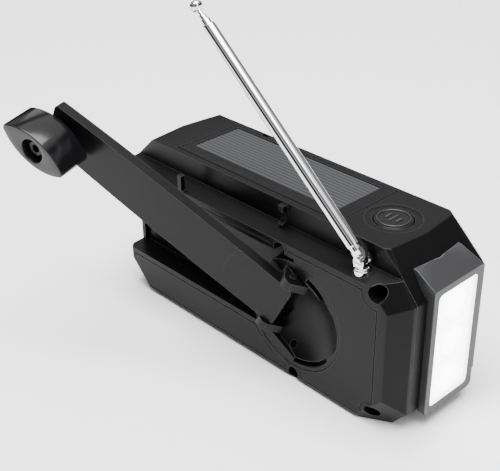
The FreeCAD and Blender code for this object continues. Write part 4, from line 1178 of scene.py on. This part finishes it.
@dataclass
class Studio:
    """Pale floor, soft lights and the camera. A band is a (height, brightness) of the world."""

    eye: tuple[float, float, float] = (-0.24163, 0.24892, 0.24311)
    right: tuple[float, float, float] = (-0.68727, -0.72625, -0.01478)
    up: tuple[float, float, float] = (0.35365, -0.35230, 0.86650)
    back: tuple[float, float, float] = (-0.63450, 0.59030, 0.49896)
    lens: float = 71.06
    sensor: float = 36.0
    clip: tuple[float, float] = (0.01, 50.0)
    bands: tuple[tuple[float, float], ...] = (
        (0.0, 0.01), (0.34, 0.015), (0.40, 0.38), (0.60, 0.42), (0.63, 0.02), (0.72, 0.02),
        (0.76, 1.3))
    backdrop: float = 0.9
    world_strength: float = 1.25
    floor_half: float = 6.0
    floor_tone: float = 0.96
    lights: tuple[SoftLight, ...] = (
        SoftLight("overhead", (-0.05, 0.10, 1.30), (0.0, 0.0, 0.03), 1.1, 1.1, 52.0),
        SoftLight("lamp_side", (-1.20, 0.10, 0.55), (0.0, 0.0, 0.05), 0.20, 0.9, 6.0),
        SoftLight("front_rim", (0.90, -0.95, 0.90), (0.0, 0.0, 0.05), 1.3, 0.5, 2.5),
    )

    def build(self) -> None:
        """Make floor, lights, world and camera."""
        self._floor()
        for light in self.lights:
            light.build()
        self._world()
        self._camera()

    def _floor(self) -> None:
        """Wide pale sheet at the rest plane."""
        half, tone = self.floor_half, self.floor_tone
        corners = [(-half, -half, 0.0), (half, -half, 0.0), (half, half, 0.0), (-half, half, 0.0)]
        mesh = bpy.data.meshes.new("floor")
        mesh.from_pydata(corners, [], [(0, 1, 2, 3)])
        material = bpy.data.materials.new("floor_paper")
        material.use_nodes = True
        shader = material.node_tree.nodes["Principled BSDF"]
        shader.inputs["Base Color"].default_value = (tone, tone, tone, 1.0)
        shader.inputs["Roughness"].default_value = 0.7
        shader.inputs["Specular IOR Level"].default_value = 0.2
        mesh.materials.append(material)
        floor = bpy.data.objects.new("floor", mesh)
        bpy.context.scene.collection.objects.link(floor)

    def _world(self) -> None:
        """Bands of dark and light for the gloss to reflect, and an even backdrop for the eye."""
        world = bpy.data.worlds.new("studio")
        world.use_nodes = True
        nodes, links = world.node_tree.nodes, world.node_tree.links
        place = nodes.new("ShaderNodeTexCoord")
        split = nodes.new("ShaderNodeSeparateXYZ")
        ramp = nodes.new("ShaderNodeValToRGB")
        set_ramp(ramp, [(position, (level,) * 3) for position, level in self.bands])
        seen = nodes.new("ShaderNodeLightPath")
        choose = colour_mix(nodes, "B", (self.backdrop,) * 3)
        background = nodes["Background"]
        background.inputs["Strength"].default_value = self.world_strength
        links.new(place.outputs["Generated"], split.inputs["Vector"])
        links.new(split.outputs["Z"], ramp.inputs["Fac"])
        links.new(seen.outputs["Is Camera Ray"], choose.inputs["Factor"])
        links.new(ramp.outputs["Color"], choose.inputs["A"])
        links.new(choose.outputs["Result"], background.inputs["Color"])
        bpy.context.scene.world = world

    def _camera(self) -> None:
        """Camera at its station, looking down on the back and the lamp end."""
        data = bpy.data.cameras.new("camera")
        data.lens, data.sensor_width = self.lens, self.sensor
        data.clip_start, data.clip_end = self.clip
        camera = bpy.data.objects.new("camera", data)
        columns = [Vector(self.right), Vector(self.up), Vector(self.back)]
        turn = Matrix([[column[row] for column in columns] for row in range(3)]).to_4x4()
        camera.matrix_world = Matrix.Translation(self.eye) @ turn
        bpy.context.scene.collection.objects.link(camera)
        bpy.context.scene.camera = camera


def main() -> None:
    """Build the radio and its studio, in order."""
    logging.basicConfig(level=logging.INFO, format="%(name)s %(message)s")
    palette = Palette(Effects())
    for assembly in (Casework, Lamp, TopDeck, Crank, Antenna, FrontPanel):
        assembly(palette).build()
        LOG.info("built %s", assembly.__name__)
    Studio().build()


if __name__ == "__main__":
    main()
